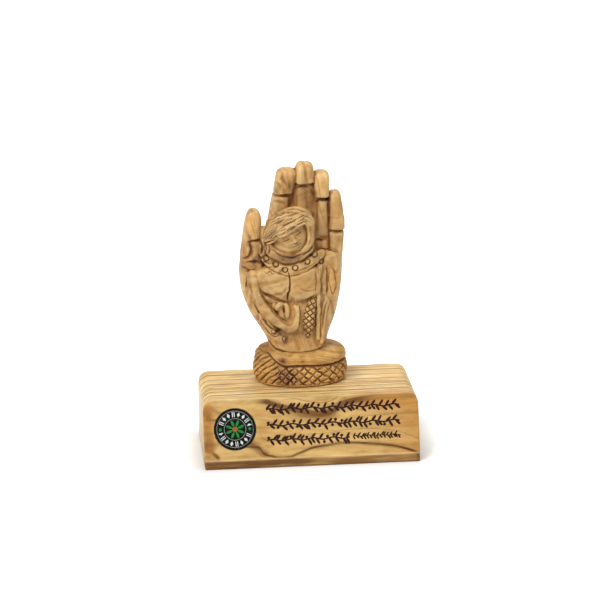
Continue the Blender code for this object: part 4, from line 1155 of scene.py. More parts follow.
hairShape = {
    "centre": (-4.6, -8.4, 64.6), "half": (13.2, 9.3, 8.4), "tilt": 28.0, "offset": (-1.4, -0.4),
    "strands": 12, "hairline": -1.3, "wisps": 26,
    # Loose locks: points of x, y, z, radius
    "locks": [
        [(-11.6, -16.2, 60.4, 0.45), (-8.6, -17.6, 60.8, 0.75), (-5.6, -18.0, 62.6, 0.5),
        (-4.4, -18.0, 63.6, 0.3)],
        [(-7.6, -17.6, 62.4, 0.35), (-6.8, -18.2, 64.8, 0.7), (-4.0, -18.4, 66.2, 0.6),
        (-1.6, -18.0, 66.0, 0.35)],
        [(-4.2, -17.8, 63.0, 0.3), (-2.4, -18.1, 64.8, 0.6), (0.4, -17.8, 66.2, 0.55), (2.6, -16.8, 66.8, 0.3)],
        [(-17.6, -10.0, 56.2, 0.3), (-15.6, -12.6, 57.9, 0.7), (-12.6, -14.8, 59.8, 0.7),
        (-9.6, -16.6, 62.2, 0.4)],
        [(-18.2, -9.0, 58.6, 0.3), (-16.0, -11.8, 60.4, 0.65), (-12.6, -14.6, 62.8, 0.7),
        (-8.8, -16.6, 65.6, 0.4)],
        [(-15.6, -9.6, 63.6, 0.3), (-13.4, -12.2, 65.6, 0.6), (-10.0, -14.2, 68.0, 0.65),
        (-5.6, -15.2, 69.6, 0.35)],
        [(-9.0, -10.8, 70.9, 0.3), (-6.4, -12.8, 71.8, 0.65), (-2.0, -13.6, 72.0, 0.8),
        (2.6, -13.0, 70.2, 0.4)],
        [(-6.4, -12.4, 73.0, 0.3), (-2.4, -12.6, 73.4, 0.8), (1.8, -12.6, 72.2, 0.9), (5.2, -12.2, 69.2, 0.5)],
        [(-1.0, -13.8, 70.6, 0.4), (2.6, -13.8, 70.4, 0.8), (5.6, -13.2, 68.0, 0.9), (6.8, -12.6, 64.6, 0.6)],
        [(0.6, -14.8, 68.8, 0.4), (3.4, -14.4, 68.2, 0.7), (5.8, -13.8, 65.6, 0.8), (6.6, -13.2, 62.0, 0.5)],
        [(-17.0, -9.0, 54.8, 0.3), (-15.0, -12.2, 56.0, 0.6), (-13.0, -14.0, 57.6, 0.5),
        (-11.6, -15.4, 59.2, 0.3)],
    ],
}


def strandField(u, v, top):
    # Height and darkness of the strands: they run along u, spread between the hairline and the top, and
    # sway; a deeper groove parts every third one, and each groove comes and goes
    low = hairShape["hairline"]
    share = np.clip((v - low) / np.maximum(top - low, 0.6), -0.2, 1.3)
    sway = 0.42 * np.sin(0.55 * u + 2.6 * share) + 0.22 * np.sin(1.35 * u + 9.0 * share + 1.0)
    place = share * hairShape["strands"] + sway
    number = np.floor(place)
    fine = np.abs(place - number - 0.5) * 2
    chance = np.random.default_rng(4).uniform(0, 1, (64, 3))[(number.astype(int) % 64)]
    come = np.clip(0.55 + 0.6 * np.sin(u * (0.35 + 0.4 * chance[..., 0]) + 9 * chance[..., 1]), 0, 1)
    groove = np.clip((fine - 0.50) / 0.50, 0, 1) ** 1.2 * (0.45 + 0.55 * come)
    wide = np.abs((place / 3.0 + 0.2) % 1.0 - 0.5) * 2
    parting = np.clip((wide - 0.74) / 0.26, 0, 1) * (0.6 + 0.4 * come)
    hairs = 0.5 + 0.5 * np.sin(place * 17.0 + 0.8 * np.sin(u * 1.1))
    height = 0.5 * chance[..., 2] - 0.95 * groove - 0.8 * parting - 0.12 * hairs
    return height, np.clip(0.95 * groove + 0.8 * parting, 0, 1), hairs


def hairWisps():
    # Thin tubes laid along the strands at chance places, just over the egg
    half, (offsetX, offsetZ), low = hairShape["half"], hairShape["offset"], hairShape["hairline"]
    chance, forms = np.random.default_rng(23), []
    for _ in range(hairShape["wisps"]):
        start, share, drift = (chance.uniform(*ends) for ends in ((-0.86, 0.35), (0.06, 0.98), (-0.10, 0.16)))
        at = np.linspace(start, start + chance.uniform(0.35, 0.60), 7)
        reach = np.sqrt(np.clip(1 - at ** 2, 0.02, 1))
        upTo = reach * half[2] + offsetZ
        rise = share + drift * (at - start) / 0.5 + 0.03 * np.sin(at * 9)
        height = low + (upTo - low) * np.clip(rise, 0, 0.99)
        level = np.clip((height - offsetZ) / (reach * half[2]), -0.98, 0.98)
        out = -reach * np.sqrt(1 - level ** 2) * half[1] - 0.12
        wisp = tilted(at * half[0] + offsetX, out, height, hairShape["centre"], hairShape["tilt"])
        thick = chance.uniform(0.38, 0.62) * np.sin(np.linspace(0.25, np.pi - 0.25, 7))
        forms.append(tube(np.concatenate([wisp, thick[:, None]], 1), sides=8, steps=30))
    return forms


def carveHair():
    # An egg whose poles lie at the ends of the locks, its front denser in points than its back
    half, (offsetX, offsetZ) = hairShape["half"], hairShape["offset"]
    across, turn = eggAngles(270, 280, 0.985)
    around = turn - 0.45 * np.sin(turn)
    ring = np.cos(across)
    u = np.sin(across) * half[0] + offsetX + 0 * around
    v = ring * np.sin(around) * half[2] + offsetZ
    y = -ring * np.cos(around) * half[1]
    height, groove, hairs = strandField(u, v, ring * half[2] + offsetZ + 0 * around)
    front = np.clip(-y / 2.5 + 0.6, 0, 1)
    under = eased((hairShape["hairline"] - v + 0.25 * np.sin(1.7 * u)) / 1.3)
    y = y * (1 + height * front / 10.0) + 5.2 * under * front
    v = v * (1 + height * front / 14.0)
    forms = [closedSurface(tilted(u, y, v, hairShape["centre"], hairShape["tilt"]))]
    forms += [tube(path, sides=10, steps=40, flat=0.9) for path in hairShape["locks"]] + hairWisps()
    hair = makePiece("carvedChildHair", forms, drapedWood)
    mesh = hair.data
    mesh.flip_normals()

    def padded(values, rest):
        # One value for the locks and wisps after those of the egg
        return np.concatenate([values.ravel(), np.full(len(mesh.vertices) - values.size, rest)])

    # Painted shade in the strand grooves, under the hairline and over the back; painted highlight on the strands'
    # crowns at the front
    paint(mesh, cut=padded(groove ** 0.6 * front, 0.0),
          hollow=padded((0.45 * under + 0.6 * groove) * front + 0.25 * (1 - front), 0.10),
          worn=padded((1 - groove) * front * (0.3 + 0.4 * hairs), 0.5),
          knot=0.8 * spotted(readMesh(mesh)[0], readNormals(mesh), hairKnots))
    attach(hair, "root")
    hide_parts("carved_hand")


carveHair()

sashShape = {"line": [(7.0, -11.6, 28.6), (5.5, -12.6, 25.2), (4.2, -13.0, 20.4), (3.5, -13.2, 14.6),
                      (3.1, -13.2, 10.2), (2.8, -12.9, 6.6)],
             "halfWidth": [0.4, 2.0, 2.8, 3.0, 2.5, 0.5], "thick": 2.4, "pitch": 3.0, "groove": 1.35,
             "squared": 0.62, "rows": 220, "columns": 96}


def weaveDistance(along, pitch):
    # Distance to the nearest of a family of lines a pitch apart
    return np.abs((along / pitch) % 1.0 - 0.5) * pitch


def carveSash():
    # The hatched end of the shawl: a flat leaf carried along its line, cut with two families of grooves
    shape, rows = sashShape, sashShape["rows"]
    line = smoothLine(shape["line"], rows)
    run = runLength(line)[:, None]
    half = np.interp(np.linspace(0, 1, rows), np.linspace(0, 1, len(shape["halfWidth"])), shape["halfWidth"])
    half = np.convolve(np.pad(half, 8, mode="edge"), np.ones(17) / 17, "valid")
    across, out = squaredRing(shape["columns"], shape["squared"])
    side = np.cross(unit(np.gradient(line, axis=0)), [0.0, 1.0, 0.0])
    width = across[None, :] * half[:, None]
    first, second = (weaveDistance(width * 0.9 + way * run, shape["pitch"]) for way in (1, -1))
    groove = np.maximum(vee(first, shape["groove"]), vee(second, shape["groove"])) * (out[None, :] < -0.2)
    thick = shape["thick"] * np.clip(half / 1.6, 0.25, 1)
    points = line[:, None, :] + side[:, None, :] * width[:, :, None]
    points[:, :, 1] += out[None, :] * thick[:, None] + 0.8 * groove ** 0.8
    # Rows run downwards here, so the turn is reversed to keep the faces outward
    sash = makePiece("carvedHatchedShawl", [closedSurface(points[::-1])], drapedWood)
    mesh = sash.data
    flat, edges = readMesh(mesh)
    hollow = hollowness(flat, readNormals(mesh), edges, 6, 2.0)
    # Painted shade in the grooves and hollows; painted highlight on what stands out
    paint(mesh, cut=withPoles(groove[::-1] ** 1.1), hollow=hollow, worn=-1.5 * hollow)
    paintSpots(mesh)
    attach(sash, "root")
    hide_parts("carved_hand")


carveSash()
print("sleeping child carved")


# The turned foot with its hatched band

footShape = {
    # Height, half width, depth to the front, depth to the back
    "profile": [(0.0, 21.8, 17.0, 13.8), (0.5, 22.5, 17.5, 14.6), (1.6, 23.2, 17.8, 15.5),
                (3.6, 23.9, 17.7, 16.2), (6.0, 24.1, 17.3, 16.5), (8.4, 24.0, 16.8, 16.3),
                (10.4, 23.4, 16.2, 15.8), (12.8, 23.2, 15.8, 15.7), (14.8, 22.5, 15.1, 15.1),
                (16.4, 21.0, 13.8, 13.8), (17.4, 18.6, 12.0, 12.0), (17.6, 15.8, 11.0, 11.0),
                (16.6, 11.0, 8.0, 8.0)],
    "rows": 170, "columns": 560, "squareness": 2.15, "girth": (24.1, 17.0),
    "groove": 10.2, "grooveWidth": 2.0, "leftRise": 6.4, "pitch": 5.2, "finePitch": 3.9, "hatchWidth": 2.3,
    "fineWidth": 2.1, "hatchDepth": 1.10, "grooveDepth": 1.35,
    # Knots: x, height, half width, half height, strength
    "knots": [(-8.4, 5.4, 5.4, 4.6, 1.2), (-10.0, 13.2, 1.9, 1.2, 0.8), (-0.4, 12.6, 1.8, 0.9, 0.5)],
}


def carveFoot(shape):
    # A superellipse at every height; the hatching is two families of vees over the way round, slanting
    # both ways with height, under a groove that climbs to the foot's top at its left end
    line = smoothLine(shape["profile"], shape["rows"])
    across, depth = squaredRing(shape["columns"], 2 / shape["squareness"])
    x = line[:, 1:2] * across
    y = np.where(depth < 0, line[:, 2:3], line[:, 3:4]) * depth
    z = line[:, :1] + 0 * x
    # Way round the widest ring, for the hatching
    wide, deep = shape["girth"]
    run = runLength(np.stack([wide * across, deep * depth], -1))[None, :]
    around = np.degrees(roundTurns(shape["columns"]))[None, :]
    leftEnd = eased((-8.4 - wide * across[None, :]) / 13.0) * eased((around - 130) / 45)
    grooveHeight = shape["groove"] + shape["leftRise"] * leftEnd + 0.25 * np.sin(run * 0.21)
    wobble = 0.55 * np.sin(run * 0.19 + 1.0) + 0.35 * np.sin(run * 0.47 + z * 0.3) \
        + 0.25 * np.sin(run * 1.3 - z * 0.7)
    first = weaveDistance(run + z * 1.25 + wobble, shape["pitch"])
    second = weaveDistance(run - z * 1.30 + 1.3 * wobble, shape["pitch"] * 0.96)
    fine = weaveDistance(run - z * 1.25 + wobble, shape["finePitch"])
    # Left of the front the cuts run one way only and close together
    oneWay = eased((-10.5 - x) / 3.5) * (around > 175)
    firm = 0.72 + 0.28 * np.sin(run * 0.83 + 1.2 * np.sin(z * 0.8))
    hatch = np.maximum(vee(first, shape["hatchWidth"]) * (1 - 0.8 * oneWay),
                       0.94 * vee(second, shape["hatchWidth"]) * (1 - oneWay))
    hatch = np.maximum(hatch, vee(fine, shape["fineWidth"]) * oneWay) * firm
    inBand = np.clip((grooveHeight - z - 0.2) / 0.5, 0, 1) * np.clip((z - 0.5) / 0.6, 0, 1)
    hatch = hatch * inBand
    groove = vee(np.abs(z - grooveHeight), shape["grooveWidth"]) * np.clip((17.0 - z) / 1.2, 0, 1)
    inward = shape["hatchDepth"] * hatch ** 0.75 + shape["grooveDepth"] * groove ** 0.9 + 0.3 * inBand
    uneven = 0.14 * np.sin(run * 0.8 + z * 0.9) * np.sin(run * 0.31 - z * 0.5) \
        + 0.10 * inBand * np.sin(run * 1.9 + z * 1.3) * np.sin(z * 2.1 - run * 0.9)
    shrink = 1 - (inward + uneven) / np.hypot(x, y)
    points = np.stack([x * shrink, y * shrink, z - footHeight], -1)
    foot = makePiece("carvedHatchedFoot", [closedSurface(points)], turnedWood)
    mesh = foot.data
    flat, edges = readMesh(mesh)
    # Painted contact shade at the bottom, where the foot stands on the block
    contact = 0.6 * np.clip((0.9 - z) / 0.9, 0, 1)
    hollow = hollowness(flat, readNormals(mesh), edges, 8, 1.8)
    knots = [strong * roundSpot(flat, knotX, height - footHeight, spotWide, spotHigh)
             for knotX, height, spotWide, spotHigh, strong in shape["knots"]]
    # Painted shade in the grooves and a little over the whole hatched band; painted highlight on the diamonds'
    # middles
    paint(mesh, cut=withPoles(np.maximum(np.maximum(hatch * 0.88, groove), contact)),
          hollow=np.clip(hollow, 0, 1) + 0.07 * withPoles(inBand + 0 * x),
          knot=np.max(knots, 0) * (flat[:, 1] < 0), worn=-1.3 * hollow)
    paintSpots(mesh)
    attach(foot, "root")
    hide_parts("carved_hand")


carveFoot(footShape)
print("foot turned and hatched")


# The block: its front is upright at the bottom, then slopes back to the top

blockShape = {
    "length": 107.0, "depth": 56.0, "height": 34.0, "upright": 4.6, "slopeRun": 7.4, "endRound": 5.5,
    "edgeRound": 1.0, "burnDepth": 0.28,
    # From, to and step of the close places along the block that carry the twigs
    "burnt": (-24.2, 45.2, 0.2),
    # Steps up the slope: the height each stretch starts at and its count
    "slopeSteps": [(4.6, 9), (10.9, 31), (16.5, 5), (18.1, 30), (23.4, 6), (25.7, 30), (31.1, 7)],
    # The hole from below as radius and height, and the dark knots as x, height, half sizes and strength
    "countersink": [(4.25, -2.0), (4.25, 0.78), (2.25, 3.18), (2.25, 36.0)],
    "knots": [(-53.5, 9.0, 7.0, 7.0, 1.0), (-53.5, 25.0, 6.0, 5.0, 0.8)],
}
blockWood = {
    "ringWidth": 0.0036, "wander": 0.0018, "wanderScale": 20.0, "seed": (0.31, 0.02, 0.11),
    "pale": (0.86, 0.635, 0.310), "warm": (0.60, 0.355, 0.118), "orange": (0.66, 0.345, 0.094),
    "dark": (0.125, 0.043, 0.011), "low": (0.205, 0.088, 0.021), "outer": (0.80, 0.68, 0.52),
    "slopeTint": (0.90, 0.91, 0.90), "rubbedAndHighlight": (0.80, 0.60, 0.33), "burnt": (0.028, 0.0035, 0.0005),
    # How far the two dark veins of the front dip along the block, as x and dip in millimetres
    "dipReach": 54.0, "dipMost": 3.0,
    "upperDip": [(-54, 0.0), (-30, 0.0), (-22.7, 0.1), (-19.9, 0.44), (-12.2, 1.16), (-7.9, 1.43), (-1.6, 1.89),
                 (4.8, 2.19), (10.4, 1.90), (13.9, 1.25), (16.8, 0.76), (22.4, 0.44), (33.7, 0.1), (54, 0.0)],
    "lowerDip": [(-54, 0.0), (-28, 0.0), (-24.4, 1.0), (-20.6, 1.49), (-13.6, 1.80), (-7.9, 1.37), (-3.7, 0.91),
                 (1.2, 0.43), (6.2, 0.25), (16.8, 0.0), (27.4, 0.25), (34.4, 0.49), (41.5, 0.85), (46.4, 1.25),
                 (51.4, 1.83), (54, 2.2)],
    # Dark veins: place of the layer in millimetres from the block's middle, half width, share of the dark
    "veins": [(-26.0, 0.07, 0.45), (-23.77, 0.15, 1.0), (-21.6, 0.05, 0.35), (-19.7, 0.06, 0.30),
              (-17.08, 0.36, 1.0), (-15.5, 0.07, 0.5), (-14.5, 0.30, 0.5), (-12.0, 0.28, 0.45),
              (-9.4, 0.55, 0.80), (-6.5, 0.30, 0.45), (-4.4, 0.50, 0.75), (-1.9, 0.32, 0.40),
              (0.5, 0.44, 0.60), (3.4, 0.32, 0.45), (6.0, 0.52, 0.65), (12.7, 0.40, 0.60),
              (20.4, 0.50, 0.60), (24.0, 0.30, 0.5)],
    "veinEdge": [(0.0, 1.0), (0.30, 0.92), (0.44, 0.34), (1.0, 0.0)],
    # Veins that fade along the block: the vein, x where it is faint and where it is full, the share that stays
    "fades": [(-23.77, -37.0, -29.0, 0.12), (-17.08, -29.5, -21.5, 0.12), (-26.0, -18.0, -10.0, 0.12),
              (-17.08, 34.0, 22.0, 0.30)],
    # Slanting streaks of the slope's left end: x and height of both ends, half width, share of the brown
    "slants": [(-33.5, 15.0, -24.0, 7.2, 1.3, 0.75), (-49.5, 30.0, -37.0, 23.6, 0.7, 0.45),
               (-52.0, 24.6, -43.0, 24.2, 0.35, 0.8), (-53.0, 12.6, -50.6, 10.0, 0.7, 1.0),
               (-50.6, 10.0, -47.0, 6.4, 0.7, 1.0), (-52.5, 21.0, -50.4, 11.0, 1.4, 0.7),
               (8.4, 27.6, 17.0, 31.6, 0.8, 0.45)],
}


def blockOliveWood(name, look):
    # Layers lie nearly flat on the sloping front: layer = 0.93 y + 0.07 z + dip, the dip running from the
    # lower vein's curve along x to the upper one's over layers -23.3 to -19.5 mm, and fading out over the
    # top; a noise of the layer number gives the bands, and named layers carry the thin dark veins
    material, wire, shader, place = startMaterial(name)
    x, y, z = wire.add("SeparateXYZ", {0: place}).outputs
    moved = wire.vector("ADD", place, look["seed"])

    def drawnOut(share):
        return wire.vector("MULTIPLY", moved, (share, 1.0, 1.0))

    def within(value, *ends):
        # Eased from 0 to 1 between the first two places and back between the last two, in millimetres
        low, inner, outer, high = (end * mm for end in ends)
        return wire.times(wire.span(value, low, inner), wire.span(value, high, outer))

    slow = wire.noise(drawnOut(0.42), look["wanderScale"], 2.0, 0.45)
    fine = wire.noise(drawnOut(0.42), look["wanderScale"] * 4.5, 2.0, 0.5)
    flat = wire.timesPlus(y, 0.93, wire.times(z, 0.07))
    upperDip, lowerDip = (wire.curve(x, look[key], look["dipReach"], look["dipMost"])
                          for key in ("upperDip", "lowerDip"))
    dip = wire.timesPlus(wire.span(flat, -0.0233, -0.0195), wire.less(upperDip, lowerDip), lowerDip)
    onTop = wire.span(y, -0.021, -0.013)
    onFront = wire.less(1.0, onTop)
    stray = wire.times(wire.less(slow, 0.5), look["wander"] * 3.4)
    stray = wire.timesPlus(wire.less(fine, 0.5), look["wander"] * 0.5, stray)
    layer = wire.math("ADD", flat, wire.times(dip, onFront))
    layer = wire.timesPlus(stray, wire.timesPlus(onTop, 0.88, 0.12), layer)
    bands = wire.noise(wire.math("DIVIDE", layer, look["ringWidth"]), 1.0, 2.0, 0.5, "1D")
    # Slow patches drawn out along the block are browner or more orange, and so are the right half of the
    # slope's upper edge and its right end
    patch = wire.noise(drawnOut(0.30), 95.0, 3.0, 0.6)
    upper = wire.times(wire.span(z, 0.022, 0.031), wire.span(x, 0.012, 0.036))
    warmer = wire.times(wire.math("MAXIMUM", wire.span(x, 0.030, 0.052), upper), onFront)
    colour = wire.over(
        wire.ramp(bands, [(0.30, look["warm"]), (0.44, look["pale"]),
                          (0.60, look["pale"]), (0.74, look["warm"])]),
        (wire.ramp(patch, [(0.54, 0.0), (0.70, 0.60)]), look["warm"]),
        (wire.ramp(patch, [(0.30, 0.45), (0.44, 0.0)]), look["orange"]),
        (wire.times(warmer, wire.ramp(patch, [(0.36, 0.35), (0.60, 0.85)])), look["orange"]))
    breaks = wire.noise(moved, 60.0, 2.0, 0.6)
    for at, width, strong in look["veins"]:
        gap = wire.math("ABSOLUTE", wire.less(layer, at * mm))
        line = wire.ramp(wire.math("DIVIDE", gap, width * 3.0 * mm), look["veinEdge"])
        shown = wire.ramp(breaks, [(0.30, strong * 0.72), (0.60, strong)])
        for vein, faint, full, least in look["fades"]:
            if vein == at:
                shown = wire.times(shown, wire.timesPlus(wire.span(x, faint * mm, full * mm), 1 - least, least))
        colour = wire.mix(wire.times(line, shown), colour, look["dark"])
    # A streak is dark by its distance from a line seen from the front, which the fine noise unsettles
    sloping = wire.span(flat, -0.0155, -0.0178)
    for xLow, zLow, xHigh, zHigh, width, strong in look["slants"]:
        length = math.hypot(xHigh - xLow, zHigh - zLow)
        unitX, unitZ = (xHigh - xLow) / length, (zHigh - zLow) / length
        fromLow = wire.vector("SUBTRACT", place, (xLow * mm, 0.0, zLow * mm))
        run = wire.vector("DOT_PRODUCT", fromLow, (unitX, 0.0, unitZ))
        past = wire.less(run, wire.math("MINIMUM", wire.math("MAXIMUM", run, 0.0), length * mm))
        beside = wire.vector("DOT_PRODUCT", fromLow, (-unitZ, 0.0, unitX))
        beside = wire.timesPlus(wire.less(fine, 0.5), 0.0030, beside)
        away = wire.math("SQRT", wire.math("ADD", wire.times(past, past), wire.times(beside, beside)))
        away = wire.math("DIVIDE", away, width * 2.2 * mm)
        streak = wire.ramp(away, [(0.0, strong), (0.4, strong * 0.7), (1.0, 0.0)])
        colour = wire.mix(wire.times(streak, sloping), colour, look["low"])

    # The outer layers are warmer than the heart; a brown flush lies under the upper vein where it dips, and
    # the lowest wood of the front is browner; the upright band is darker still as painted shade, facing away from
    # the light above, and a painted contact shade runs along the bottom edge
    leftFlush = wire.times(wire.span(x, -0.0470, -0.0510), wire.ramp(patch, [(0.38, 0.4), (0.54, 1.0)]))
    under = wire.times(within(layer, -19.2, -17.3, -17.0, -16.6), within(x, -16.0, -4.0, 8.0, 16.0))
    rough = wire.ramp(wire.noise(drawnOut(0.42), 30.0, 3.0, 0.55), [(0.35, 0.15), (0.62, 1.0)])
    leftDark = wire.span(x, -0.014, -0.030)
    lowest = wire.times(wire.span(layer, -0.0252, -0.0264), leftDark)
    onBand = wire.times(wire.span(z, 0.0047, 0.0044), wire.math("LESS_THAN", y, -0.0270))
    browner = wire.timesPlus(leftDark, 0.25, wire.ramp(rough, [(0.2, 0.58), (0.9, 0.92)]))
    streaky = wire.noise(drawnOut(0.10), 260.0, 2.0, 0.6)
    browner = wire.times(browner, wire.ramp(streaky, [(0.40, 0.50), (0.58, 1.12)]))
    fibres = wire.noise(drawnOut(0.06), 1500.0, 3.0, 0.6)
    broad = wire.noise(drawnOut(0.06), 380.0, 2.0, 0.5)
    grainy = wire.noise(drawnOut(0.28), 420.0, 3.0, 0.65)
    knot = wire.ramp(wire.noise(moved, 120.0, 2.0, 0.6), [(0.42, 0.0), (0.60, 1.0)])
    cut = wire.attribute("cut")
    colour = wire.over(
        colour,
        (wire.times(leftFlush, sloping), look["orange"]),
        (wire.times(wire.span(flat, -0.0166, -0.0178), 0.8), look["outer"], "MULTIPLY"),
        (wire.times(under, 0.75), look["low"]),
        (wire.times(lowest, rough), look["low"]),
        # Painted shade on the upright band, which faces away from the light above
        (wire.times(onBand, browner, clamp=True), look["low"]),
        (onFront, look["slopeTint"], "MULTIPLY"),
        # Painted contact shade along the bottom edge
        (wire.times(wire.span(z, 0.0012, 0.0003), 0.7), look["dark"]),
        # Painted highlight, with some wear, along the rubbed edges
        (wire.times(wire.attribute("worn"), 0.6), look["rubbedAndHighlight"]),
        (0.6, wire.ramp(fibres, [(0.30, 0.84), (0.55, 1.0), (0.75, 1.05)]), "MULTIPLY"),
        (1.0, wire.ramp(broad, [(0.28, (0.82, 0.77, 0.66)), (0.66, (1.06, 1.05, 1.0))]), "MULTIPLY"),
        (1.0, wire.ramp(grainy, [(0.30, (0.82, 0.76, 0.64)), (0.52, (1.0, 1.0, 1.0)),
                                 (0.72, (1.07, 1.05, 1.02))]), "MULTIPLY"),
        (wire.times(wire.attribute("knot"), knot), look["low"]),
        (wire.ramp(cut, [(0.10, 0.0), (0.50, 1.0)]), look["burnt"]))
    gloss = wire.timesPlus(cut, 0.3, wire.timesPlus(fibres, 0.14, 0.33))
    wire.feed(shader, {"Base Color": colour, "Roughness": gloss, "Specular IOR Level": 0.24,
                       "Normal": wire.bump(wire.timesPlus(broad, 0.5, fibres), 0.2, 0.0001)})
    return material


olivePlank = blockOliveWood("oliveBlock", blockWood)

# Burnt ornament on the slope: rows of an olive twig, as middle height on the block, from, to and size
twigRows = [(28.3, -22.4, 43.6, 1.0), (20.7, -22.4, 43.6, 1.0), (13.5, -22.4, 18.6, 1.0),
            (13.9, 20.4, 44.0, 0.62)]
twigWork = {"seed": 11, "swing": 0.42, "softness": 0.16, "stem": 0.32, "berry": 0.64,
            "pair": (3.1, 0.52), "leaf": (3.3, 0.55), "stalk": (1.0, 0.20), "step": 1.6, "pairStep": 2.3}


def twigMarks(work):
    # Leaves as x, z, angle, length and width, berries as x, z and radius, stems as a line and half width
    chance = np.random.default_rng(work["seed"])
    leaves, berries, stems = [], [], []
    for height, start, end, size in twigRows:

        def stemHeight(at):
            return height + work["swing"] * size * np.sin((at - start) * 0.62 / size)

        def addLeaf(at, angle, kind):
            leaves.append((at, stemHeight(x), angle, work[kind][0] * size, work[kind][1] * size))

        stemX = np.linspace(start, end, int((end - start) * 3))
        stems.append((np.stack([stemX, stemHeight(stemX)], -1), work["stem"] * size))
        x, side = start, 1
        while x < end - 1.2 * size:
            kind = chance.choice(["leaf", "leaf", "pair", "berry"])
            if kind == "berry":
                berries.append((x + 0.9 * size, stemHeight(x) + side * 1.25 * size, work["berry"] * size))
                addLeaf(x + 0.5 * size, side * 68, "stalk")
            elif kind == "pair":
                for turn in (1, -1):
                    addLeaf(x, turn * chance.uniform(46, 62), "pair")
            else:
                addLeaf(x, side * chance.uniform(38, 58), "leaf")
            x += work["pairStep" if kind == "pair" else "step"] * size
            side = -side
    return leaves, berries, stems


def twigDepth(x, z):
    # 1 where the burn has cut, 0 on the wood between
    burn, soft = np.zeros(x.shape), twigWork["softness"]
    leaves, berries, stems = twigMarks(twigWork)
    for leafX, leafZ, angle, length, width in leaves:
        near = (np.abs(x - leafX) < length + 1) & (np.abs(z - leafZ) < length + 1)
        along, beside = alongAndBeside(x[near] - leafX, z[near] - leafZ, angle)
        burn[near] = np.maximum(burn[near], leafInk(along, beside, length, width, soft, 0.03))
    for berryX, berryZ, radius in berries:
        burn = np.maximum(burn, edged(radius - np.hypot((x - berryX) * 0.86, z - berryZ), soft))
    for line, half in stems:
        away = np.abs(z - np.interp(x, line[:, 0], line[:, 1]))
        burn = np.maximum(burn, edged(half - away, soft) * (x > line[0, 0]) * (x < line[-1, 0]))
    return burn


def roundedRing(corners, radius, sideSteps, arcSteps=5):
    # A closed outline with every corner turned over an arc: corners is rows x corner x (y, z)
    count = corners.shape[1]
    arcs = []
    for i in range(count):
        here = corners[:, i]
        back, ahead = unit(corners[:, i - 1] - here), unit(corners[:, (i + 1) % count] - here)
        half = np.arccos(np.clip((back * ahead).sum(-1), -1, 1)) / 2
        cutBack = np.minimum(radius / np.tan(half), 6 * radius)[:, None]
        share = np.linspace(0, 1, arcSteps)[None, :, None]
        start, end = (here + back * cutBack)[:, None], (here + ahead * cutBack)[:, None]
        # A quadratic curve between the two ends stays within a hair of the arc
        arcs.append((1 - share) ** 2 * start + 2 * share * (1 - share) * here[:, None] + share ** 2 * end)
    ring = []
    for i in range(count):
        start, end = arcs[i][:, -1:], arcs[(i + 1) % count][:, :1]
        ring += [arcs[i], start + (end - start) * sideSteps[i][None, 1:-1, None]]
    return np.concatenate(ring, 1)


def inCarvingFrame(points):
    return points - carvingZero / mm


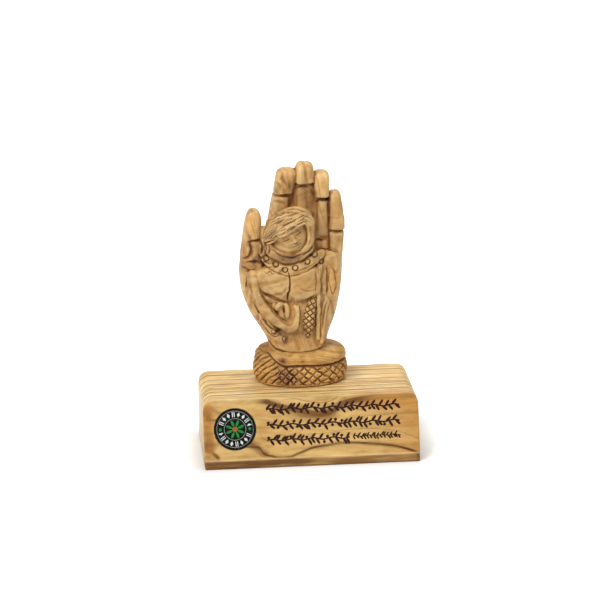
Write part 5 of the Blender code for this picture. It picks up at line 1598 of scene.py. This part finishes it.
def shapeBlock(shape):
    # A five-cornered outline with rounded edges at every place along the block, lower towards both ends
    half, front, height = shape["length"] / 2, -shape["depth"] / 2, shape["height"]
    edge, upright, (burntFrom, burntTo, burntStep) = shape["edgeRound"], shape["upright"], shape["burnt"]
    # Places along the block: close together under the twigs, and closing over the rounded ends
    turn = np.linspace(0, np.pi / 2, 9)[:-1]
    endSteps = half - edge * (1 - np.sin(turn))
    inner = np.concatenate([np.linspace(-half + edge, burntFrom, 64)[:-1],
                            np.arange(burntFrom, burntTo, burntStep),
                            np.linspace(burntTo, half - edge, 18)[1:]])
    along = np.concatenate([-endSteps[::-1][:-1], inner, endSteps[1:]])
    drop = edge * (1 - np.cos(turn))
    inset = np.concatenate([drop[::-1][:-1], 0 * inner, drop[1:]])
    into = np.clip(np.abs(along) - (half - shape["endRound"]), 0, shape["endRound"] * 0.995)
    top = height - shape["endRound"] + np.sqrt(shape["endRound"] ** 2 - into ** 2)
    slopeBack = shape["slopeRun"] / (height - upright)
    foremost, hindmost = front + inset, -front - inset
    slopeTop = front + slopeBack * (top - inset - upright) + inset
    corners = np.stack([np.stack([y, z], -1) for y, z in (
        (hindmost, inset), (foremost, inset), (foremost, 0 * top + upright), (slopeTop, top - inset),
        (hindmost, top - inset))], 1)
    # Steps up the slope: fine in the three rows of twigs, coarse between them
    starts, counts = zip(*shape["slopeSteps"])
    heights = np.concatenate([np.linspace(low, high, steps, endpoint=False)
                              for low, high, steps in zip(starts, (*starts[1:], height), counts)] + [[height]])
    slope = (heights - upright) / (height - upright)
    under, band, top, behind = (np.linspace(0, 1, steps) for steps in (12, 6, 36, 10))
    ring = roundedRing(corners, edge, [under, band, slope, top, behind])
    y, z = ring[..., 0], ring[..., 1]
    x = along[:, None] + 0 * y
    # Only the sloping front takes the burn, which goes straight in
    onSlope = (np.abs(y - (front + slopeBack * (z - upright))) < 0.05) & (z > 9) & (z < 32)
    burn = twigDepth(x, z) * onSlope
    sunk = burn * shape["burnDepth"] / math.hypot(1, slopeBack)
    points = np.stack([x, y + sunk, z - sunk * slopeBack], -1)
    # End caps: each end ring repeated smaller and smaller to its middle
    shares = np.array([0.92, 0.7, 0.4, 0.1])[:, None, None]
    left, right = (end.mean(0) + (end - end.mean(0)) * shares for end in (points[0], points[-1]))
    burn = np.concatenate([0 * left[..., 0], burn, 0 * right[..., 0]])
    points = np.concatenate([left[::-1], points, right])
    block = makePiece("oliveWoodBlock", [closedSurface(inCarvingFrame(points))], olivePlank)
    mesh = block.data
    flat = readMesh(mesh)[0] + carvingZero / mm
    knot = np.max([strong * roundSpot(flat, *spot) for *spot, strong in shape["knots"]], 0)
    # Rubbed edges with a painted highlight: near the line between band and slope, and along the top's front edge
    slopeY = front + slopeBack * np.clip(flat[:, 2] - upright, 0, 99)
    rubbedAndHighlight = bell(flat[:, 2] - upright - 0.1, 0.42) * (np.abs(flat[:, 1] - slopeY) < 0.5)
    rubbedAndHighlight = np.maximum(rubbedAndHighlight, 0.35 * bell(flat[:, 2] - 33.6, 0.5) * (flat[:, 1] < -20))
    paint(mesh, cut=withPoles(burn), knot=knot * (flat[:, 1] < -18), worn=rubbedAndHighlight)
    return block


def spun(profile, sides):
    # Radius and height pairs turned round the upright axis
    profile, turn = np.array(profile, float), roundTurns(sides)
    x, y = profile[:, :1] * np.cos(turn), profile[:, :1] * np.sin(turn)
    return np.stack([x, y, profile[:, 1:] + 0 * x], -1)


# Place of the badge: middle of its plate, one line up the slope and one straight out of it
badgePlace = {"x": -38.0, "upSlope": 15.4, "radius": 10.2, "pocketRadius": 10.5, "pocketDepth": 1.4}
slopeUp = unit(np.array([0.0, blockShape["slopeRun"], blockShape["height"] - blockShape["upright"]]))
slopeOut = np.cross([1.0, 0.0, 0.0], slopeUp)
badgeMiddle = np.array([badgePlace["x"], -blockShape["depth"] / 2, blockShape["upright"]]) \
    + slopeUp * badgePlace["upSlope"]


def badgeSurface(rings):
    # From the badge's own plane (x along the block, y up the slope, z out) to a surface on the slope
    placed = badgeMiddle + rings @ np.stack([[1.0, 0.0, 0.0], slopeUp, slopeOut])
    return closedSurface(inCarvingFrame(placed))


def boreOut(piece, name, surface):
    # Takes the surface's body out of the piece; the cutter itself stays unseen
    cutter = makePiece(name, [surface], olivePlank, False)
    cutter.hide_render = True
    cutter.display_type = "WIRE"
    bore = piece.modifiers.new("bore", "BOOLEAN")
    bore.operation, bore.solver, bore.object = "DIFFERENCE", "EXACT", cutter
    return cutter


block = shapeBlock(blockShape)
pocketEnds = [(badgePlace["pocketRadius"], out * badgePlace["pocketDepth"]) for out in (-1, 1)]
pocket = boreOut(block, "badgePocket", badgeSurface(spun(pocketEnds, 96)))
sunkForm = spun(blockShape["countersink"], 48) + carvingZero / mm * np.array([1, 1, 0])
screwHole = boreOut(block, "screwHole", closedSurface(inCarvingFrame(sunkForm)))
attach(block, "root")
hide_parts("base_block")
for cutter in (pocket, screwHole):
    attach(cutter, "root")
print("block shaped and its twigs burnt in")


# The badge: a printed disc in its pocket under a clear lens

badgeShape = {
    "face": 9.5, "faceHeight": -0.1, "floor": -1.1, "rings": 96, "sides": 480, "softness": 0.10,
    # The raised rim from the face outwards and down: radius, height over the face
    "rim": [(9.5, 0.12), (9.52, 0.22), (9.6, 0.28), (9.75, 0.3), (9.95, 0.3), (10.1, 0.26), (10.18, 0.16),
            (10.2, 0.0)],
    # A petal's start, length and half width, then the dots' and the middle's radius
    "marks": 18, "markRadius": 7.35, "petals": 8, "petal": (1.5, 3.2, 0.62), "dot": 0.72, "dotPlace": 7.3,
    "middle": 1.35,
    "lensRadius": 9.2, "lensSeat": 0.2, "lensEdge": 0.25, "lensDome": 0.65,
}


def printedDisc(shape):
    # Black lacquer with a ring of pale lozenges and ticks, two green dots, and a leaf rosette round an
    # orange middle; the marks are attributes worked out from radius and angle
    faceHeight, floor, soft = shape["faceHeight"], shape["floor"], shape["softness"]
    face = np.stack([np.linspace(0.05, shape["face"], shape["rings"]), np.full(shape["rings"], faceHeight)], -1)
    rim = np.array(shape["rim"]) + np.array([0.0, faceHeight])
    under = [(badgePlace["radius"], floor + 0.2), (9.9, floor)]
    rings = spun(np.concatenate([face, rim, under])[::-1], shape["sides"])
    disc = makePiece("printedDisc", [badgeSurface(rings)])
    x, z = rings[..., 0], rings[..., 1]
    r = np.hypot(x, z)
    angle = np.degrees(np.arctan2(z, x)) % 360
    # Distance in degrees from the middle of the nearest of the equal cells, and its number
    place = (angle - 5.0) / (360 / shape["marks"])
    number = np.floor(place)
    beside = np.abs(place - number - 0.5) * (360 / shape["marks"]) * np.pi / 180 * r
    free = (np.abs(angle - 0) > 13) & (np.abs(angle - 360) > 13) & (np.abs(angle - 180) > 13)
    fromRing = np.abs(r - shape["markRadius"])
    lozenge = edged(0.75 - beside - 0.62 * fromRing, soft) * (number % 3 != 1)
    tick = edged(0.20 - np.abs(beside - 0.45), soft) * edged(1.25 - fromRing, soft) * (number % 3 == 1)
    ring = edged(0.09 - np.abs(r - 5.35), soft) * 0.55 + edged(0.08 - np.abs(r - 9.0), soft) * 0.5
    white = np.maximum(np.maximum(lozenge, tick) * free, ring)
    start, length, width = shape["petal"]
    green = np.zeros(x.shape)
    for petal in range(shape["petals"]):
        along, across = alongAndBeside(x, z, (petal + 0.5) * 360 / shape["petals"])
        green = np.maximum(green, leafInk(along - start, across, length, width, soft))
    for side in (-1, 1):
        green = np.maximum(green, edged(shape["dot"] - np.hypot(x - side * shape["dotPlace"], z), soft))
    orange = edged(shape["middle"] - r, soft)
    onFace = (rings[..., 2] > faceHeight - 0.01) & (r < shape["face"])
    paint(disc.data, **{name: withPoles(values * onFace, [0, values[-1].mean()]) for name, values in
                        (("whiteInk", white), ("greenInk", green), ("orangeInk", orange))})
    return disc


def discLacquer():
    # Ink colours over black by their attributes; a fine speckle keeps them from being flat
    material, wire, shader, place = startMaterial("discLacquer")
    speck = wire.noise(place, 2600.0, 2.0, 0.6)
    colour = wire.over(
        wire.ramp(speck, [(0.3, (0.002, 0.003, 0.002)), (0.7, (0.006, 0.007, 0.005))]),
        *((wire.attribute(name), wire.ramp(speck, [(0.3, deep), (0.7, pale)])) for name, pale, deep in (
            ("whiteInk", (0.92, 0.93, 0.91), (0.74, 0.77, 0.76)),
            ("greenInk", (0.030, 0.34, 0.070), (0.014, 0.22, 0.044)),
            ("orangeInk", (0.52, 0.17, 0.045), (0.34, 0.10, 0.028)))))
    wire.feed(shader, {"Base Color": colour, "Roughness": wire.timesPlus(speck, 0.2, 0.35),
                       "Specular IOR Level": 0.12})
    return material


def clearResin():
    # Fresnel share of a sharp reflection over plain see-through, very slightly uneven
    material, wire, shader, place = startMaterial("clearResin")
    wire.nodes.remove(shader)
    uneven = wire.bump(wire.noise(place, 180.0, 2.0, 0.5), 0.12, 0.0004)
    fresnel = wire.add("Fresnel", {"IOR": 1.5, "Normal": uneven})
    through = wire.add("BsdfTransparent", {"Color": (0.97, 0.975, 0.97)})
    smear = wire.ramp(wire.noise(place, 420.0, 3.0, 0.6), [(0.4, 0.05), (0.7, 0.14)])
    shine = wire.add("BsdfAnisotropic", {"Roughness": smear, "Normal": uneven})
    share = wire.times(fresnel.outputs[0], 0.16, clamp=True)
    mixed = wire.add("MixShader", {0: share, 1: through.outputs[0], 2: shine.outputs[0]})
    wire.feed(wire.nodes["Material Output"], {"Surface": mixed.outputs[0]})
    return material


def clearLens(shape):
    # The lens fills the rim: a flat back, a short upright edge and a low dome
    edge, seat = shape["lensRadius"], shape["lensSeat"]
    turn = np.linspace(0, np.pi / 2 * 0.995, 40)
    dome = np.stack([edge * np.cos(turn), seat + shape["lensEdge"] + shape["lensDome"] * np.sin(turn)], -1)
    flatBack = np.stack([np.linspace(0.2, edge, 14), np.full(14, seat)], -1)
    return makePiece("clearLens", [badgeSurface(spun(np.concatenate([flatBack, dome]), 128))], clearResin())


badgeDisc = printedDisc(badgeShape)
badgeDisc.data.materials.append(discLacquer())
badgeLens = clearLens(badgeShape)
for piece, node, slotName in ((badgeDisc, "badge_plate", "badge_print"),
                              (badgeLens, "badge_dome", "badge_resin")):
    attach(piece, "root")
    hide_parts(node)


def zincSteel():
    # Brushed grey: colour and roughness by a noise drawn out round the screw, with a few dull spots
    material, wire, shader, place = startMaterial("zincSteel")
    fine = wire.noise(wire.vector("MULTIPLY", place, (1.0, 1.0, 6.0)), 900.0, 3.0, 0.6)
    spots = wire.ramp(wire.noise(place, 500.0, 2.0, 0.5), [(0.58, 0.0), (0.7, 0.6)])
    colour = wire.mix(spots, wire.ramp(fine, [(0.3, (0.42, 0.42, 0.41)), (0.7, (0.62, 0.62, 0.60))]),
                      (0.24, 0.235, 0.22))
    wire.feed(shader, {"Base Color": colour, "Metallic": 1.0, "Roughness": wire.timesPlus(fine, 0.25, 0.25),
                       "Normal": wire.bump(fine, 0.15, 0.0001)})
    return material


screw = bpy.data.objects["fixing_screw"]
screw.data.materials.clear()
screw.data.materials.append(zincSteel())
print("badge and screw finished")
